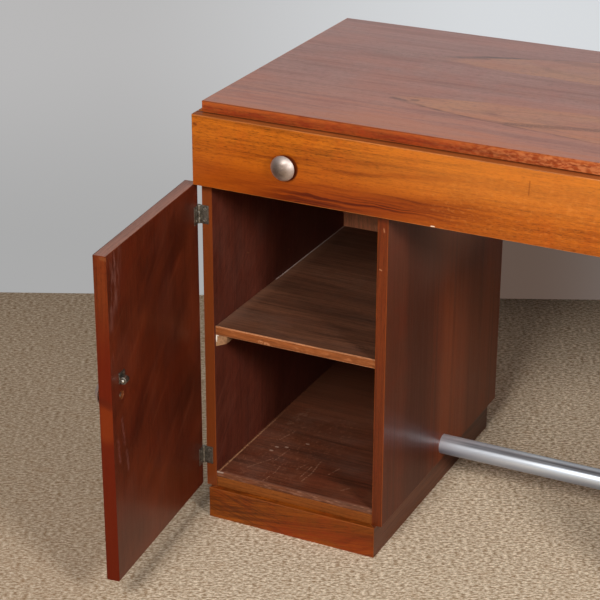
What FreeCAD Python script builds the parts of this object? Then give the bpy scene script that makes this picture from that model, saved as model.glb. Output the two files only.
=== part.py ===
import FreeCAD, Part
import math
import os

# Kneehole desk in veneered wood: a belt with one full-width drawer on two pedestals with doors.
# Lengths are in millimetres. X runs from the left end to the right, Y from the front face of the
# drawer front to the back, Z up from the floor, until the last step centres the desk on its base.

# The desk as a whole
desk_width = 1200.0
desk_depth = 570.0
desk_height = 750.0

# Drawer front and doors, and the gap behind them
front_thickness = 22.0
front_gap = 2.0
front_arris = 0.8

# Worktop slab, laid on the belt with a ledge left all round it
worktop_thickness = 18.0
worktop_side_ledge = 10.0
worktop_front_ledge = 17.0
worktop_back_ledge = 10.0
worktop_round = 1.5

# Belt, the shallow carcase under the worktop
belt_height = 119.0
belt_side_thickness = 18.0
belt_back_thickness = 18.0
belt_back_rebate = 9.0
belt_bottom_thickness = 8.0
belt_bottom_rebate = 6.0
belt_rail_width = 40.0
belt_rail_thickness = 16.0
runner_width = 16.0
runner_gap = 0.3
stop_height = 40.0

# Drawer box and its half-blind dovetails
drawer_top_gap = 1.0
drawer_side_gap = 1.5
drawer_depth = 500.0
drawer_side_thickness = 12.0
drawer_side_headroom = 2.0
drawer_bottom_thickness = 6.0
drawer_bottom_rise = 8.0
drawer_groove_depth = 6.0
drawer_back_thickness = 12.0
drawer_back_inset = 6.0
drawer_back_headroom = 6.0
dovetail_length = 12.0
dovetail_count = 3
dovetail_width_share = 0.52
dovetail_slope_share = 0.125

# Knobs: a domed mushroom turned in nickel, held by a machine screw from behind
knob_radius = 20.5
knob_height = 20.0
knob_rim_height = 9.5
knob_neck_radius = 8.0
bolt_radius = 2.0
bolt_head_radius = 3.6
bolt_head_height = 2.4
fastener_sides = 6
bolt_grip = 8.0
bolt_well_radius = 7.5
bolt_well_depth = 4.0
drawer_knob_end = 165.0
drawer_knob_rise = 57.0
door_knob_edge = 34.0
door_knob_height = 371.0

# Pedestals
pedestal_inset = 3.0
pedestal_width = 328.0
pedestal_side_thickness = 18.0
pedestal_back_thickness = 18.0
pedestal_back_setback = 1.0
pedestal_back_rebate = 9.0
thin_panel_thickness = 10.0
housing_depth = 5.0
top_panel_setback = 6.0
floor_height = 84.0
floor_setback = 2.0
floor_rail_thickness = 16.0
shelf_height = 357.5
shelf_thickness = 16.0
shelf_setback = 4.0
shelf_gap = 0.5
cleat_width = 20.0
cleat_wall_height = 22.0
cleat_free_height = 13.5
cleat_back_gap = 22.0
outer_cleat_setback = 6.0
inner_cleat_setback = 42.0

# Plinth, a frame of four boards with mitred front corners
plinth_height = 56.0
plinth_thickness = 18.0
plinth_side_inset = 9.0
plinth_front_setback = 14.0
plinth_back_setback = 15.0

# Doors, which lie over the fronts of the pedestals
door_gap = 2.0
door_overhang = 5.0
door_rest_angle = 84.15

# Butt hinges with the barrel standing clear of the pedestal's side
hinge_axis_out = 5.5
hinge_height = 32.0
hinge_leaf_width = 17.5
hinge_leaf_thickness = 1.5
hinge_leaf_gap = 0.2
hinge_barrel_radius = 3.0
hinge_pin_radius = 1.25
hinge_pin_end = 0.8
hinge_knuckle_gap = 0.2
hinge_end_distance = 56.0
hinge_notch_gap = 0.3

# Countersunk slotted wood screws for hinges, catches and strikes
screw_length = 12.0
screw_head_radius = 3.0
screw_shank_radius = 1.5
screw_tip = 2.5
screw_point_share = 0.15
hinge_screw_reach_share = 0.64
hinge_screw_spread_share = 0.29

# Ball catch on the door and its strike on the pedestal's inner side
catch_height = 398.5
catch_plate_height = 17.5
catch_plate_thickness = 1.5
catch_plate_round = 2.5
catch_barrel_radius = 6.0
catch_barrel_length = 12.0
catch_barrel_sink = 1.0
catch_tail_length = 8.0
plunger_radius = 3.2
plunger_length = 10.0
plunger_nose_length = 1.8
plunger_nose_radius = 1.6
plunger_stand = 2.6
plunger_travel = 2.0
catch_tip_gap = 0.3
catch_foot_share = 0.66
catch_screw_height_shares = (0.24, 0.76)
strike_height = 30.0
strike_width = 7.0
strike_hole_radius = 2.6
strike_hole_depth = 4.0
strike_screw_spread_share = 0.34

# Footrest tube between the pedestals, held in blind sockets
tube_radius = 17.5
tube_wall = 2.0
tube_height = 86.0
tube_socket_depth = 10.0
tube_end_gap = 0.2

# Fits
glue_gap = 0.05
running_gap = 0.05
cut_overrun = 5.0

# Levels and planes that follow from the sizes above
belt_top = desk_height - worktop_thickness
belt_bottom = belt_top - belt_height
case_front = front_thickness + front_gap
belt_back_face = desk_depth - belt_back_thickness
pedestal_outer = pedestal_inset
pedestal_inner = pedestal_inset + pedestal_width
room_outer = pedestal_outer + pedestal_side_thickness
room_inner = pedestal_inner - pedestal_side_thickness
pedestal_rear = belt_back_face
back_rear = pedestal_rear - pedestal_back_setback
back_front = back_rear - pedestal_back_thickness
floor_bottom = floor_height - thin_panel_thickness
floor_front = case_front + floor_setback
door_width = pedestal_inner + door_overhang
door_bottom = plinth_height + door_gap
door_top = belt_bottom - door_gap
hinge_x = pedestal_outer - hinge_axis_out
hinge_y = front_thickness + front_gap / 2
hinge_levels = (door_bottom + hinge_end_distance, door_top - hinge_end_distance)
runner_top = belt_bottom + belt_rail_thickness
knob_level = belt_bottom + drawer_knob_rise
catch_seat_y = front_thickness + catch_plate_thickness
catch_axis_y = catch_seat_y + catch_barrel_radius - catch_barrel_sink
catch_tip = room_inner - catch_tip_gap
catch_end = catch_tip - plunger_stand
tube_y = (case_front + pedestal_rear) / 2

parts = {}


def vector(x, y, z):
    return FreeCAD.Vector(x, y, z)


def board(x0, x1, y0, y1, z0, z1):
    """A plain board between three pairs of planes."""
    return Part.makeBox(x1 - x0, y1 - y0, z1 - z0, vector(x0, y0, z0))


def rod(radius, start, direction, length):
    """A round bar from a start point along a direction."""
    return Part.makeCylinder(radius, length, start, direction)


def prism(points, travel):
    """A flat outline pushed along a travel vector."""
    outline = Part.makePolygon(points + [points[0]])
    return Part.Face(outline).extrude(travel)


def join(first, others):
    """One solid from pieces that touch, with the seams between them removed."""
    return first.fuse(others).removeSplitter()


def eased(solid, size, wanted):
    """Takes the arris off the edges whose middle point is wanted."""
    chosen = [edge for edge in solid.Edges if wanted(edge)]
    return solid.makeChamfer(size, chosen)


def mirrored(shape):
    """The same piece on the other half of the desk."""
    return shape.mirror(vector(desk_width / 2, 0, 0), vector(1, 0, 0))


def both_halves(shapes):
    """Left and right copies of a list of pieces, as one group."""
    return Part.makeCompound(shapes + [mirrored(shape) for shape in shapes])


def flat_ring(y, radius):
    """An even-sided ring about the Y axis, for the outlines of small fasteners."""
    step = 2 * math.pi / fastener_sides
    points = []
    for index in range(fastener_sides):
        angle = step * (index + 0.5)
        points.append(vector(radius * math.cos(angle), y, radius * math.sin(angle)))
    return Part.makePolygon(points + [points[0]])


def turned_flats(stations):
    """A fastener's form through rings of (distance along Y, radius)."""
    return Part.makeLoft([flat_ring(y, radius) for y, radius in stations], True, True)


def swung_open(shape):
    """The left door's pieces, turned about its hinge to where the door stands."""
    turned = shape.copy()
    turned.rotate(vector(hinge_x, hinge_y, 0), vector(0, 0, 1), -door_rest_angle)
    return turned


def middle(edge):
    return edge.CenterOfMass


# Worktop
def make_worktop():
    slab = board(worktop_side_ledge, desk_width - worktop_side_ledge,
                 worktop_front_ledge, desk_depth - worktop_back_ledge,
                 belt_top, desk_height)
    below_top = desk_height - worktop_round
    upper = [edge for edge in slab.Edges if middle(edge).z > below_top]
    return slab.makeFillet(worktop_round, upper)


# Belt carcase
def make_belt_side():
    side = board(0, belt_side_thickness, case_front, desk_depth, belt_bottom, belt_top)
    back_rebate = board(belt_side_thickness - belt_back_rebate, belt_side_thickness + cut_overrun,
                        belt_back_face, desk_depth + cut_overrun,
                        belt_bottom - cut_overrun, belt_top + cut_overrun)
    bottom_rebate = board(belt_side_thickness - belt_bottom_rebate,
                          belt_side_thickness + cut_overrun,
                          case_front + belt_rail_width - belt_bottom_rebate,
                          desk_depth + cut_overrun,
                          belt_bottom - cut_overrun, belt_bottom + belt_bottom_thickness)
    side = side.cut([back_rebate, bottom_rebate])
    outer_top = belt_top - front_arris
    return eased(side, front_arris,
                 lambda edge: middle(edge).z > outer_top and middle(edge).x < front_arris)


def make_belt_back():
    end = belt_side_thickness - belt_back_rebate
    back = board(end, desk_width - end, belt_back_face, desk_depth, belt_bottom, belt_top)
    rebate = board(end - cut_overrun, desk_width - end + cut_overrun,
                   belt_back_face - cut_overrun, belt_back_face + belt_bottom_rebate,
                   belt_bottom - cut_overrun, belt_bottom + belt_bottom_thickness)
    return back.cut(rebate)


def make_belt_bottom():
    end = belt_side_thickness - belt_bottom_rebate + glue_gap
    return board(end, desk_width - end,
                 case_front + belt_rail_width - belt_bottom_rebate + glue_gap,
                 belt_back_face + belt_bottom_rebate - glue_gap,
                 belt_bottom, belt_bottom + belt_bottom_thickness)


def make_belt_front_rail():
    rail = board(belt_side_thickness, desk_width - belt_side_thickness,
                 case_front, case_front + belt_rail_width, belt_bottom, runner_top)
    rebate = board(belt_side_thickness - cut_overrun, desk_width,
                   case_front + belt_rail_width - belt_bottom_rebate,
                   case_front + belt_rail_width + cut_overrun,
                   belt_bottom - cut_overrun, belt_bottom + belt_bottom_thickness)
    return rail.cut(rebate)


def make_belt_top_rail():
    return board(belt_side_thickness, desk_width - belt_side_thickness,
                 case_front, case_front + belt_rail_width,
                 belt_top - belt_rail_thickness, belt_top)


def belt_strip(z0, z1):
    """A strip along the inside of the left belt side, from the rails to the back."""
    return board(belt_side_thickness, belt_side_thickness + runner_width,
                 case_front + belt_rail_width, belt_back_face, z0, z1)


def make_stop():
    left = belt_side_thickness + drawer_side_gap
    return board(left, left + drawer_side_thickness,
                 front_thickness + drawer_depth + runner_gap, belt_back_face,
                 runner_top, runner_top + stop_height)


# Drawer
drawer_left = belt_side_thickness + drawer_side_gap
drawer_low = runner_top + runner_gap
drawer_high = belt_top - belt_rail_thickness - drawer_side_headroom
drawer_floor = drawer_low + drawer_bottom_rise
drawer_rear = front_thickness + drawer_depth


def dovetails(gap):
    """The tails on the front end of the left drawer side, grown by a gap all round."""
    pitch = (drawer_high - drawer_low) / dovetail_count
    half_root = pitch * dovetail_width_share / 2 + gap
    half_tip = half_root + dovetail_length * dovetail_slope_share
    tip = front_thickness - dovetail_length - gap
    tails = []
    for index in range(dovetail_count):
        level = drawer_low + pitch * (index + 0.5)
        outline = [vector(drawer_left - gap, front_thickness, level - half_root),
                   vector(drawer_left - gap, tip, level - half_tip),
                   vector(drawer_left - gap, tip, level + half_tip),
                   vector(drawer_left - gap, front_thickness, level + half_root)]
        tails.append(prism(outline, vector(drawer_side_thickness + 2 * gap, 0, 0)))
    return tails


def make_drawer_side():
    side = board(drawer_left, drawer_left + drawer_side_thickness,
                 front_thickness, drawer_rear, drawer_low, drawer_high)
    inside = drawer_left + drawer_side_thickness
    groove = board(inside - drawer_groove_depth, inside + cut_overrun,
                   front_thickness - drawer_groove_depth, drawer_rear + cut_overrun,
                   drawer_floor, drawer_floor + drawer_bottom_thickness)
    back_rear_face = drawer_rear - drawer_back_inset
    back_housing = board(inside - drawer_groove_depth, inside + cut_overrun,
                         back_rear_face - drawer_back_thickness, back_rear_face,
                         drawer_floor + drawer_bottom_thickness,
                         drawer_high - drawer_back_headroom)
    side = join(side, dovetails(0))
    return side.cut([groove, back_housing])


def make_drawer_bottom():
    end = drawer_left + drawer_side_thickness - drawer_groove_depth + glue_gap
    return board(end, desk_width - end,
                 front_thickness - drawer_groove_depth + glue_gap, drawer_rear,
                 drawer_floor, drawer_floor + drawer_bottom_thickness - glue_gap)


def make_drawer_back():
    end = drawer_left + drawer_side_thickness - drawer_groove_depth + glue_gap
    rear = drawer_rear - drawer_back_inset
    return board(end, desk_width - end, rear - drawer_back_thickness + glue_gap, rear - glue_gap,
                 drawer_floor + drawer_bottom_thickness,
                 drawer_high - drawer_back_headroom - glue_gap)


def bolt_cuts(x, z):
    """The screw hole through a front and the well that sinks the screw's head behind it."""
    hole = placed(bolt_shank(glue_gap), x, z)
    well = rod(bolt_well_radius, vector(x, front_thickness - bolt_well_depth, z),
               vector(0, 1, 0), bolt_well_depth + cut_overrun)
    return [hole, well]


def make_drawer_front():
    front = board(0, desk_width, 0, front_thickness, belt_bottom, belt_top - drawer_top_gap)
    face = front_arris
    front = eased(front, front_arris, lambda edge: middle(edge).y < face)
    left_tails = dovetails(glue_gap)
    groove = board(drawer_left + drawer_side_thickness - drawer_groove_depth,
                   desk_width - drawer_left - drawer_side_thickness + drawer_groove_depth,
                   front_thickness - drawer_groove_depth, front_thickness + cut_overrun,
                   drawer_floor, drawer_floor + drawer_bottom_thickness)
    cuts = left_tails + [mirrored(tail) for tail in left_tails] + [groove]
    cuts += bolt_cuts(drawer_knob_end, knob_level)
    cuts += bolt_cuts(desk_width - drawer_knob_end, knob_level)
    return front.cut(cuts)


# Knobs
def turned_knob():
    """The knob with its foot on the plane Y = 0, standing out towards -Y."""
    rise = knob_height - knob_rim_height
    dome_radius = (knob_radius ** 2 + rise ** 2) / (2 * rise)
    dome_centre = knob_height - dome_radius
    half_angle = math.asin(knob_radius / dome_radius) / 2
    dome_middle = vector(dome_radius * math.sin(half_angle),
                         -dome_centre - dome_radius * math.cos(half_angle), 0)
    outline = [
        Part.makeLine(vector(0, 0, 0), vector(knob_neck_radius, 0, 0)),
        Part.makeLine(vector(knob_neck_radius, 0, 0),
                      vector(knob_neck_radius, -knob_rim_height, 0)),
        Part.makeLine(vector(knob_neck_radius, -knob_rim_height, 0),
                      vector(knob_radius, -knob_rim_height, 0)),
        Part.Arc(vector(knob_radius, -knob_rim_height, 0), dome_middle,
                 vector(0, -knob_height, 0)).toShape(),
        Part.makeLine(vector(0, -knob_height, 0), vector(0, 0, 0)),
    ]
    body = Part.Face(Part.Wire(outline)).revolve(vector(0, 0, 0), vector(0, 1, 0), 360)
    return body.cut(bolt_shank(glue_gap))


def bolt_shank(gap):
    """The machine screw's shank on the knob's axis, from inside the knob to the well."""
    start = -bolt_grip - gap
    end = front_thickness - bolt_well_depth
    return turned_flats([(start, bolt_radius + gap), (end, bolt_radius + gap)])


def knob_bolt():
    """The machine screw behind a knob, with its head seated in the well."""
    seat = front_thickness - bolt_well_depth
    head = turned_flats([(seat, bolt_head_radius), (seat + bolt_head_height, bolt_head_radius)])
    return join(bolt_shank(0), [head])


def placed(shape, x, z):
    moved = shape.copy()
    moved.translate(vector(x, 0, z))
    return moved


# Pedestal carcase, left half
def make_pedestal_side(left, right, inward):
    """One side board. Inward is 1 where the room lies to its right and -1 to its left."""
    side = board(left, right, case_front, pedestal_rear, plinth_height, belt_bottom)
    face = right if inward > 0 else left
    rebate_x = sorted((face - inward * pedestal_back_rebate, face + inward * cut_overrun))
    housing_x = sorted((face - inward * housing_depth, face + inward * cut_overrun))
    back_rebate = board(rebate_x[0], rebate_x[1], back_front, pedestal_rear + cut_overrun,
                        plinth_height - cut_overrun, belt_bottom + cut_overrun)
    floor_housing = board(housing_x[0], housing_x[1], floor_front, back_front + cut_overrun,
                          floor_bottom, floor_height)
    top_housing = board(housing_x[0], housing_x[1], case_front + top_panel_setback,
                        back_front + cut_overrun,
                        belt_bottom - thin_panel_thickness, belt_bottom + cut_overrun)
    return side.cut([back_rebate, floor_housing, top_housing])


def make_outer_side():
    side = make_pedestal_side(pedestal_outer, room_outer, 1)
    cuts = []
    for level in hinge_levels:
        cuts.append(frame_mortise(level))
        cuts += [screw_at(x, z, 1, glue_gap) for x, z in hinge_screw_places(level)]
    return side.cut(cuts)


def make_inner_side():
    side = make_pedestal_side(room_inner, pedestal_inner, -1)
    socket = rod(tube_radius + running_gap,
                 vector(pedestal_inner - tube_socket_depth, tube_y, tube_height),
                 vector(1, 0, 0), tube_socket_depth + cut_overrun)
    cuts = [socket, strike_mortise()]
    cuts += [strike_screw(z, glue_gap) for z in strike_screw_levels()]
    return side.cut(cuts)


def make_back_panel():
    end = pedestal_side_thickness - pedestal_back_rebate + glue_gap
    return board(pedestal_outer + end, pedestal_inner - end, back_front, back_rear,
                 plinth_height, belt_bottom)


def thin_panel(front, z0, z1):
    """A panel let into the housings of both sides, from its front edge to the back panel."""
    return board(room_outer - housing_depth + glue_gap, room_inner + housing_depth - glue_gap,
                 front + glue_gap, back_front, z0, z1)


def make_floor_rail():
    return board(room_outer, room_inner, floor_front, floor_front + floor_rail_thickness,
                 plinth_height, floor_bottom)


def make_shelf():
    shelf = board(room_outer + shelf_gap, room_inner - shelf_gap,
                  case_front + shelf_setback, back_front - shelf_gap,
                  shelf_height - shelf_thickness, shelf_height)
    front = case_front + shelf_setback + front_arris
    return eased(shelf, front_arris,
                 lambda edge: middle(edge).y < front and abs(edge.tangentAt(0).x) > 0.5)


def cleat(wall, inward, front, back):
    """A strip on a side board's face, with its underside bevelled up towards the room."""
    top = shelf_height - shelf_thickness
    free = wall + inward * cleat_width
    outline = [vector(wall, front, top), vector(free, front, top),
               vector(free, front, top - cleat_free_height),
               vector(wall, front, top - cleat_wall_height)]
    return prism(outline, vector(0, back - front, 0))


def make_cleats():
    back = back_front - cleat_back_gap
    return [cleat(room_outer, 1, case_front + outer_cleat_setback, back),
            cleat(room_inner, -1, case_front + inner_cleat_setback, back)]


# Plinth
plinth_left = pedestal_outer + plinth_side_inset
plinth_right = pedestal_inner - plinth_side_inset
plinth_front = plinth_front_setback
plinth_rear = pedestal_rear - plinth_back_setback


def make_plinth_front():
    y0 = plinth_front
    y1 = plinth_front + plinth_thickness
    outline = [vector(plinth_left, y0, 0), vector(plinth_right, y0, 0),
               vector(plinth_right - plinth_thickness, y1, 0),
               vector(plinth_left + plinth_thickness, y1, 0)]
    front = prism(outline, vector(0, 0, plinth_height))
    top = plinth_height - front_arris
    face = plinth_front + front_arris
    return eased(front, front_arris,
                 lambda edge: middle(edge).z > top and middle(edge).y < face)


def make_plinth_sides():
    y0 = plinth_front
    y1 = plinth_front + plinth_thickness
    left = [vector(plinth_left, y0, 0), vector(plinth_left + plinth_thickness, y1, 0),
            vector(plinth_left + plinth_thickness, plinth_rear, 0),
            vector(plinth_left, plinth_rear, 0)]
    right = [vector(plinth_right, y0, 0), vector(plinth_right, plinth_rear, 0),
             vector(plinth_right - plinth_thickness, plinth_rear, 0),
             vector(plinth_right - plinth_thickness, y1, 0)]
    return [prism(left, vector(0, 0, plinth_height)), prism(right, vector(0, 0, plinth_height))]


def make_plinth_back():
    return board(plinth_left + plinth_thickness, plinth_right - plinth_thickness,
                 plinth_rear - plinth_thickness, plinth_rear, 0, plinth_height)


# Screws
def screw_form(gap):
    """A countersunk screw driven along +Y from its flat head at Y = 0, grown by a gap."""
    head = screw_head_radius + gap
    shank = screw_shank_radius + gap
    stations = [(0, head), (hinge_leaf_thickness, shank), (screw_length - screw_tip, shank),
                (screw_length + gap, screw_shank_radius * screw_point_share)]
    if gap > 0:
        stations.insert(0, (-gap, head))
    return turned_flats(stations)


def screw_at(x, z, way, gap):
    """A hinge or catch screw: way 1 goes into the pedestal, -1 into the closed door."""
    form = screw_form(gap)
    if way > 0:
        form.translate(vector(x, frame_leaf_front, z))
        return form
    form.rotate(vector(0, 0, 0), vector(0, 0, 1), 180)
    form.translate(vector(x, door_leaf_rear, z))
    return form


# Butt hinges
frame_leaf_front = hinge_y + hinge_leaf_gap / 2
frame_leaf_rear = frame_leaf_front + hinge_leaf_thickness
door_leaf_rear = hinge_y - hinge_leaf_gap / 2
door_leaf_front = door_leaf_rear - hinge_leaf_thickness
leaf_end = hinge_x + hinge_leaf_width
knuckle_length = (hinge_height - 2 * hinge_knuckle_gap) / 3


def hinge_screw_places(level):
    reach = hinge_x + hinge_leaf_width * hinge_screw_reach_share
    spread = hinge_height * hinge_screw_spread_share
    return [(reach, level - spread), (reach, level + spread)]


def leaf(y0, y1, level, knuckle_starts, way):
    """A flat leaf with its knuckles rolled round the pin."""
    low = level - hinge_height / 2
    root = hinge_x + hinge_barrel_radius + hinge_knuckle_gap
    plate = board(root, leaf_end, y0, y1, low, low + hinge_height)
    rolled = []
    for start in knuckle_starts:
        z0 = low + start
        rolled.append(board(hinge_x, root, y0, y1, z0, z0 + knuckle_length))
        rolled.append(rod(hinge_barrel_radius, vector(hinge_x, hinge_y, z0),
                          vector(0, 0, 1), knuckle_length))
    bore = rod(hinge_pin_radius + running_gap, vector(hinge_x, hinge_y, low - cut_overrun),
               vector(0, 0, 1), hinge_height + 2 * cut_overrun)
    holes = [screw_at(x, z, way, glue_gap) for x, z in hinge_screw_places(level)]
    return join(plate, rolled).cut([bore] + holes)


def make_frame_leaf(level):
    top_start = 2 * (knuckle_length + hinge_knuckle_gap)
    return leaf(frame_leaf_front, frame_leaf_rear, level, (0, top_start), 1)


def make_door_leaf(level):
    return leaf(door_leaf_front, door_leaf_rear, level, (knuckle_length + hinge_knuckle_gap,), -1)


def make_hinge_pin(level):
    low = level - hinge_height / 2
    return rod(hinge_pin_radius, vector(hinge_x, hinge_y, low - hinge_pin_end),
               vector(0, 0, 1), hinge_height + 2 * hinge_pin_end)


def frame_mortise(level):
    """The recess in the front edge of the outer side that takes the frame leaf."""
    low = level - hinge_height / 2
    return board(pedestal_outer - cut_overrun, leaf_end + glue_gap,
                 case_front - cut_overrun, frame_leaf_rear,
                 low - glue_gap, low + hinge_height + glue_gap)


def door_mortise(level):
    """The recess behind the door for its leaf, with the notch that clears the barrel."""
    low = level - hinge_height / 2
    tall = hinge_height + 2 * (hinge_pin_end + hinge_notch_gap)
    recess = board(-cut_overrun, leaf_end + glue_gap, door_leaf_front,
                   front_thickness + cut_overrun, low - glue_gap, low + hinge_height + glue_gap)
    notch = rod(hinge_barrel_radius + hinge_notch_gap,
                vector(hinge_x, hinge_y, low - hinge_pin_end - hinge_notch_gap),
                vector(0, 0, 1), tall)
    return [recess, notch]


# Ball catch
catch_plate_start = catch_end - catch_barrel_length - catch_tail_length
catch_plate_low = catch_height - catch_barrel_radius


def catch_screw_places():
    """Two screws, one above the other, in the tail of the plate behind the barrel."""
    return [(catch_plate_start + catch_tail_length / 2,
             catch_plate_low + catch_plate_height * share)
            for share in catch_screw_height_shares]


def catch_screw(x, z, gap):
    form = screw_form(gap)
    form.rotate(vector(0, 0, 0), vector(0, 0, 1), 180)
    form.translate(vector(x, catch_seat_y, z))
    return form


def make_catch_body():
    plate = board(catch_plate_start, catch_end, front_thickness, catch_seat_y,
                  catch_plate_low, catch_plate_low + catch_plate_height)
    top = catch_plate_low + catch_plate_height - catch_plate_round
    plate = plate.makeFillet(catch_plate_round,
                             [edge for edge in plate.Edges
                              if abs(edge.tangentAt(0).y) > 0.5 and middle(edge).z > top])
    start = catch_end - catch_barrel_length
    barrel = rod(catch_barrel_radius, vector(start, catch_axis_y, catch_height),
                 vector(1, 0, 0), catch_barrel_length)
    half_foot = catch_barrel_radius * catch_foot_share
    foot = board(start, catch_end, front_thickness, catch_axis_y,
                 catch_height - half_foot, catch_height + half_foot)
    body = join(plate, [barrel, foot])
    holes = [catch_screw(x, z, glue_gap) for x, z in catch_screw_places()]
    bore_start = catch_tip - plunger_length - plunger_travel - catch_tip_gap
    bore = rod(plunger_radius + running_gap, vector(bore_start, catch_axis_y, catch_height),
               vector(1, 0, 0), catch_end - bore_start + cut_overrun)
    return body.cut([bore] + holes)


def make_plunger():
    """The sprung plunger with its coned nose, at the end of its outward travel."""
    neck = catch_tip - plunger_nose_length
    along = vector(1, 0, 0)
    shank = rod(plunger_radius, vector(catch_tip - plunger_length, catch_axis_y, catch_height),
                along, plunger_length - plunger_nose_length)
    nose = Part.makeCone(plunger_radius, plunger_nose_radius, plunger_nose_length,
                         vector(neck, catch_axis_y, catch_height), along)
    return join(shank, [nose])


# Strike plate
def strike_screw_levels():
    spread = strike_height * strike_screw_spread_share
    return (catch_height - spread, catch_height + spread)


def strike_screw(z, gap):
    form = screw_form(gap)
    form.rotate(vector(0, 0, 0), vector(0, 0, 1), -90)
    form.translate(vector(room_inner, catch_axis_y, z))
    return form


def strike_blank(gap):
    return board(room_inner, room_inner + hinge_leaf_thickness,
                 catch_axis_y - strike_width / 2 - gap, catch_axis_y + strike_width / 2 + gap,
                 catch_height - strike_height / 2 - gap, catch_height + strike_height / 2 + gap)


def strike_mortise():
    """The recess for the strike plate, with a drilling behind its hole."""
    start = vector(room_inner - cut_overrun, catch_axis_y, catch_height)
    drilling = rod(strike_hole_radius, start, vector(1, 0, 0), cut_overrun + strike_hole_depth)
    return strike_blank(glue_gap).fuse(drilling)


def make_strike():
    start = vector(room_inner - cut_overrun, catch_axis_y, catch_height)
    hole = rod(strike_hole_radius, start, vector(1, 0, 0), cut_overrun + strike_hole_depth)
    screws = [strike_screw(z, glue_gap) for z in strike_screw_levels()]
    return strike_blank(0).cut([hole] + screws)


# Doors
def make_door_panel():
    panel = board(0, door_width, 0, front_thickness, door_bottom, door_top)
    face = front_arris
    panel = eased(panel, front_arris, lambda edge: middle(edge).y < face)
    cuts = bolt_cuts(door_width - door_knob_edge, door_knob_height)
    for level in hinge_levels:
        cuts += door_mortise(level)
        cuts += [screw_at(x, z, -1, glue_gap) for x, z in hinge_screw_places(level)]
    cuts += [catch_screw(x, z, glue_gap) for x, z in catch_screw_places()]
    return panel.cut(cuts)


def door_pieces():
    """Everything that turns with the left door, shown closed."""
    knob_x = door_width - door_knob_edge
    screws = []
    for level in hinge_levels:
        screws += [screw_at(x, z, -1, 0) for x, z in hinge_screw_places(level)]
    screws += [catch_screw(x, z, 0) for x, z in catch_screw_places()]
    screws.append(placed(knob_bolt(), knob_x, door_knob_height))
    leaves = [make_door_leaf(z) for z in hinge_levels]
    knob = placed(turned_knob(), knob_x, door_knob_height)
    return {
        "door_panel": make_door_panel(),
        "door_fittings": Part.makeCompound([knob, make_catch_body()] + leaves),
        "door_screws": Part.makeCompound(screws),
        "catch_plunger": make_plunger(),
    }


# Footrest
def make_tube():
    start = pedestal_inner - tube_socket_depth + tube_end_gap
    length = desk_width - 2 * start
    outside = rod(tube_radius, vector(start, tube_y, tube_height), vector(1, 0, 0), length)
    inside = rod(tube_radius - tube_wall, vector(start - cut_overrun, tube_y, tube_height),
                 vector(1, 0, 0), length + 2 * cut_overrun)
    return outside.cut(inside)


# Assembly
def add_belt():
    parts["worktop"] = make_worktop()
    side = make_belt_side()
    parts["belt_left_side"] = side
    parts["belt_right_side"] = mirrored(side)
    parts["belt_back"] = make_belt_back()
    parts["belt_bottom_panel"] = make_belt_bottom()
    parts["belt_front_rail"] = make_belt_front_rail()
    parts["belt_top_rail"] = make_belt_top_rail()
    parts["drawer_runners"] = both_halves([belt_strip(belt_bottom + belt_bottom_thickness,
                                                      runner_top)])
    parts["drawer_kickers"] = both_halves([belt_strip(belt_top - belt_rail_thickness, belt_top)])
    parts["drawer_stops"] = both_halves([make_stop()])


def add_drawer():
    side = make_drawer_side()
    parts["drawer_front"] = make_drawer_front()
    parts["drawer_left_side"] = side
    parts["drawer_right_side"] = mirrored(side)
    parts["drawer_bottom"] = make_drawer_bottom()
    parts["drawer_back"] = make_drawer_back()
    parts["drawer_knobs"] = both_halves([placed(turned_knob(), drawer_knob_end, knob_level)])
    parts["drawer_knob_bolts"] = both_halves([placed(knob_bolt(), drawer_knob_end, knob_level)])


def add_pedestals():
    plinth_sides = make_plinth_sides()
    pieces = {
        "outer_side": make_outer_side(),
        "inner_side": make_inner_side(),
        "back_panel": make_back_panel(),
        "top_panel": thin_panel(case_front + top_panel_setback,
                                belt_bottom - thin_panel_thickness, belt_bottom),
        "shelf": make_shelf(),
        "floor_panel": thin_panel(floor_front, floor_bottom, floor_height),
        "floor_rail": make_floor_rail(),
        "plinth_front": make_plinth_front(),
        "plinth_sides": Part.makeCompound(plinth_sides),
        "plinth_back": make_plinth_back(),
    }
    for name, shape in pieces.items():
        parts["left_" + name] = shape
        parts["right_" + name] = mirrored(shape)
    parts["shelf_cleats"] = both_halves(make_cleats())


def add_fittings():
    screws = []
    for level in hinge_levels:
        screws += [screw_at(x, z, 1, 0) for x, z in hinge_screw_places(level)]
    screws += [strike_screw(z, 0) for z in strike_screw_levels()]
    parts["hinge_frame_leaves"] = both_halves([make_frame_leaf(z) for z in hinge_levels])
    parts["hinge_pins"] = both_halves([make_hinge_pin(z) for z in hinge_levels])
    parts["frame_screws"] = both_halves(screws)
    parts["catch_strikes"] = both_halves([make_strike()])
    parts["footrest_tube"] = make_tube()


def add_doors():
    for name, shape in door_pieces().items():
        parts["left_" + name] = swung_open(shape)
        parts["right_" + name] = mirrored(shape)


def frame_shift():
    """From the drawing's corner to the middle of the space that the desk takes up."""
    reach = parts["left_door_panel"].BoundBox
    left = min(reach.XMin, 0)
    front = min(reach.YMin, -knob_height)
    return vector(-(left + desk_width) / 2, -(front + desk_depth) / 2, 0)


def main():
    os.makedirs("parts", exist_ok=True)
    add_belt()
    add_drawer()
    add_pedestals()
    add_fittings()
    add_doors()
    shift = frame_shift()
    for name, shape in parts.items():
        shape.translate(shift)
        shape.exportStep("parts/" + name + ".step")
    print("frame shift", round(shift.x, 4), round(shift.y, 4))
    print("nodes", len(parts))


main()
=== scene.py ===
import bpy
import bmesh
import math
from mathutils import Euler, Matrix, Vector


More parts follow.
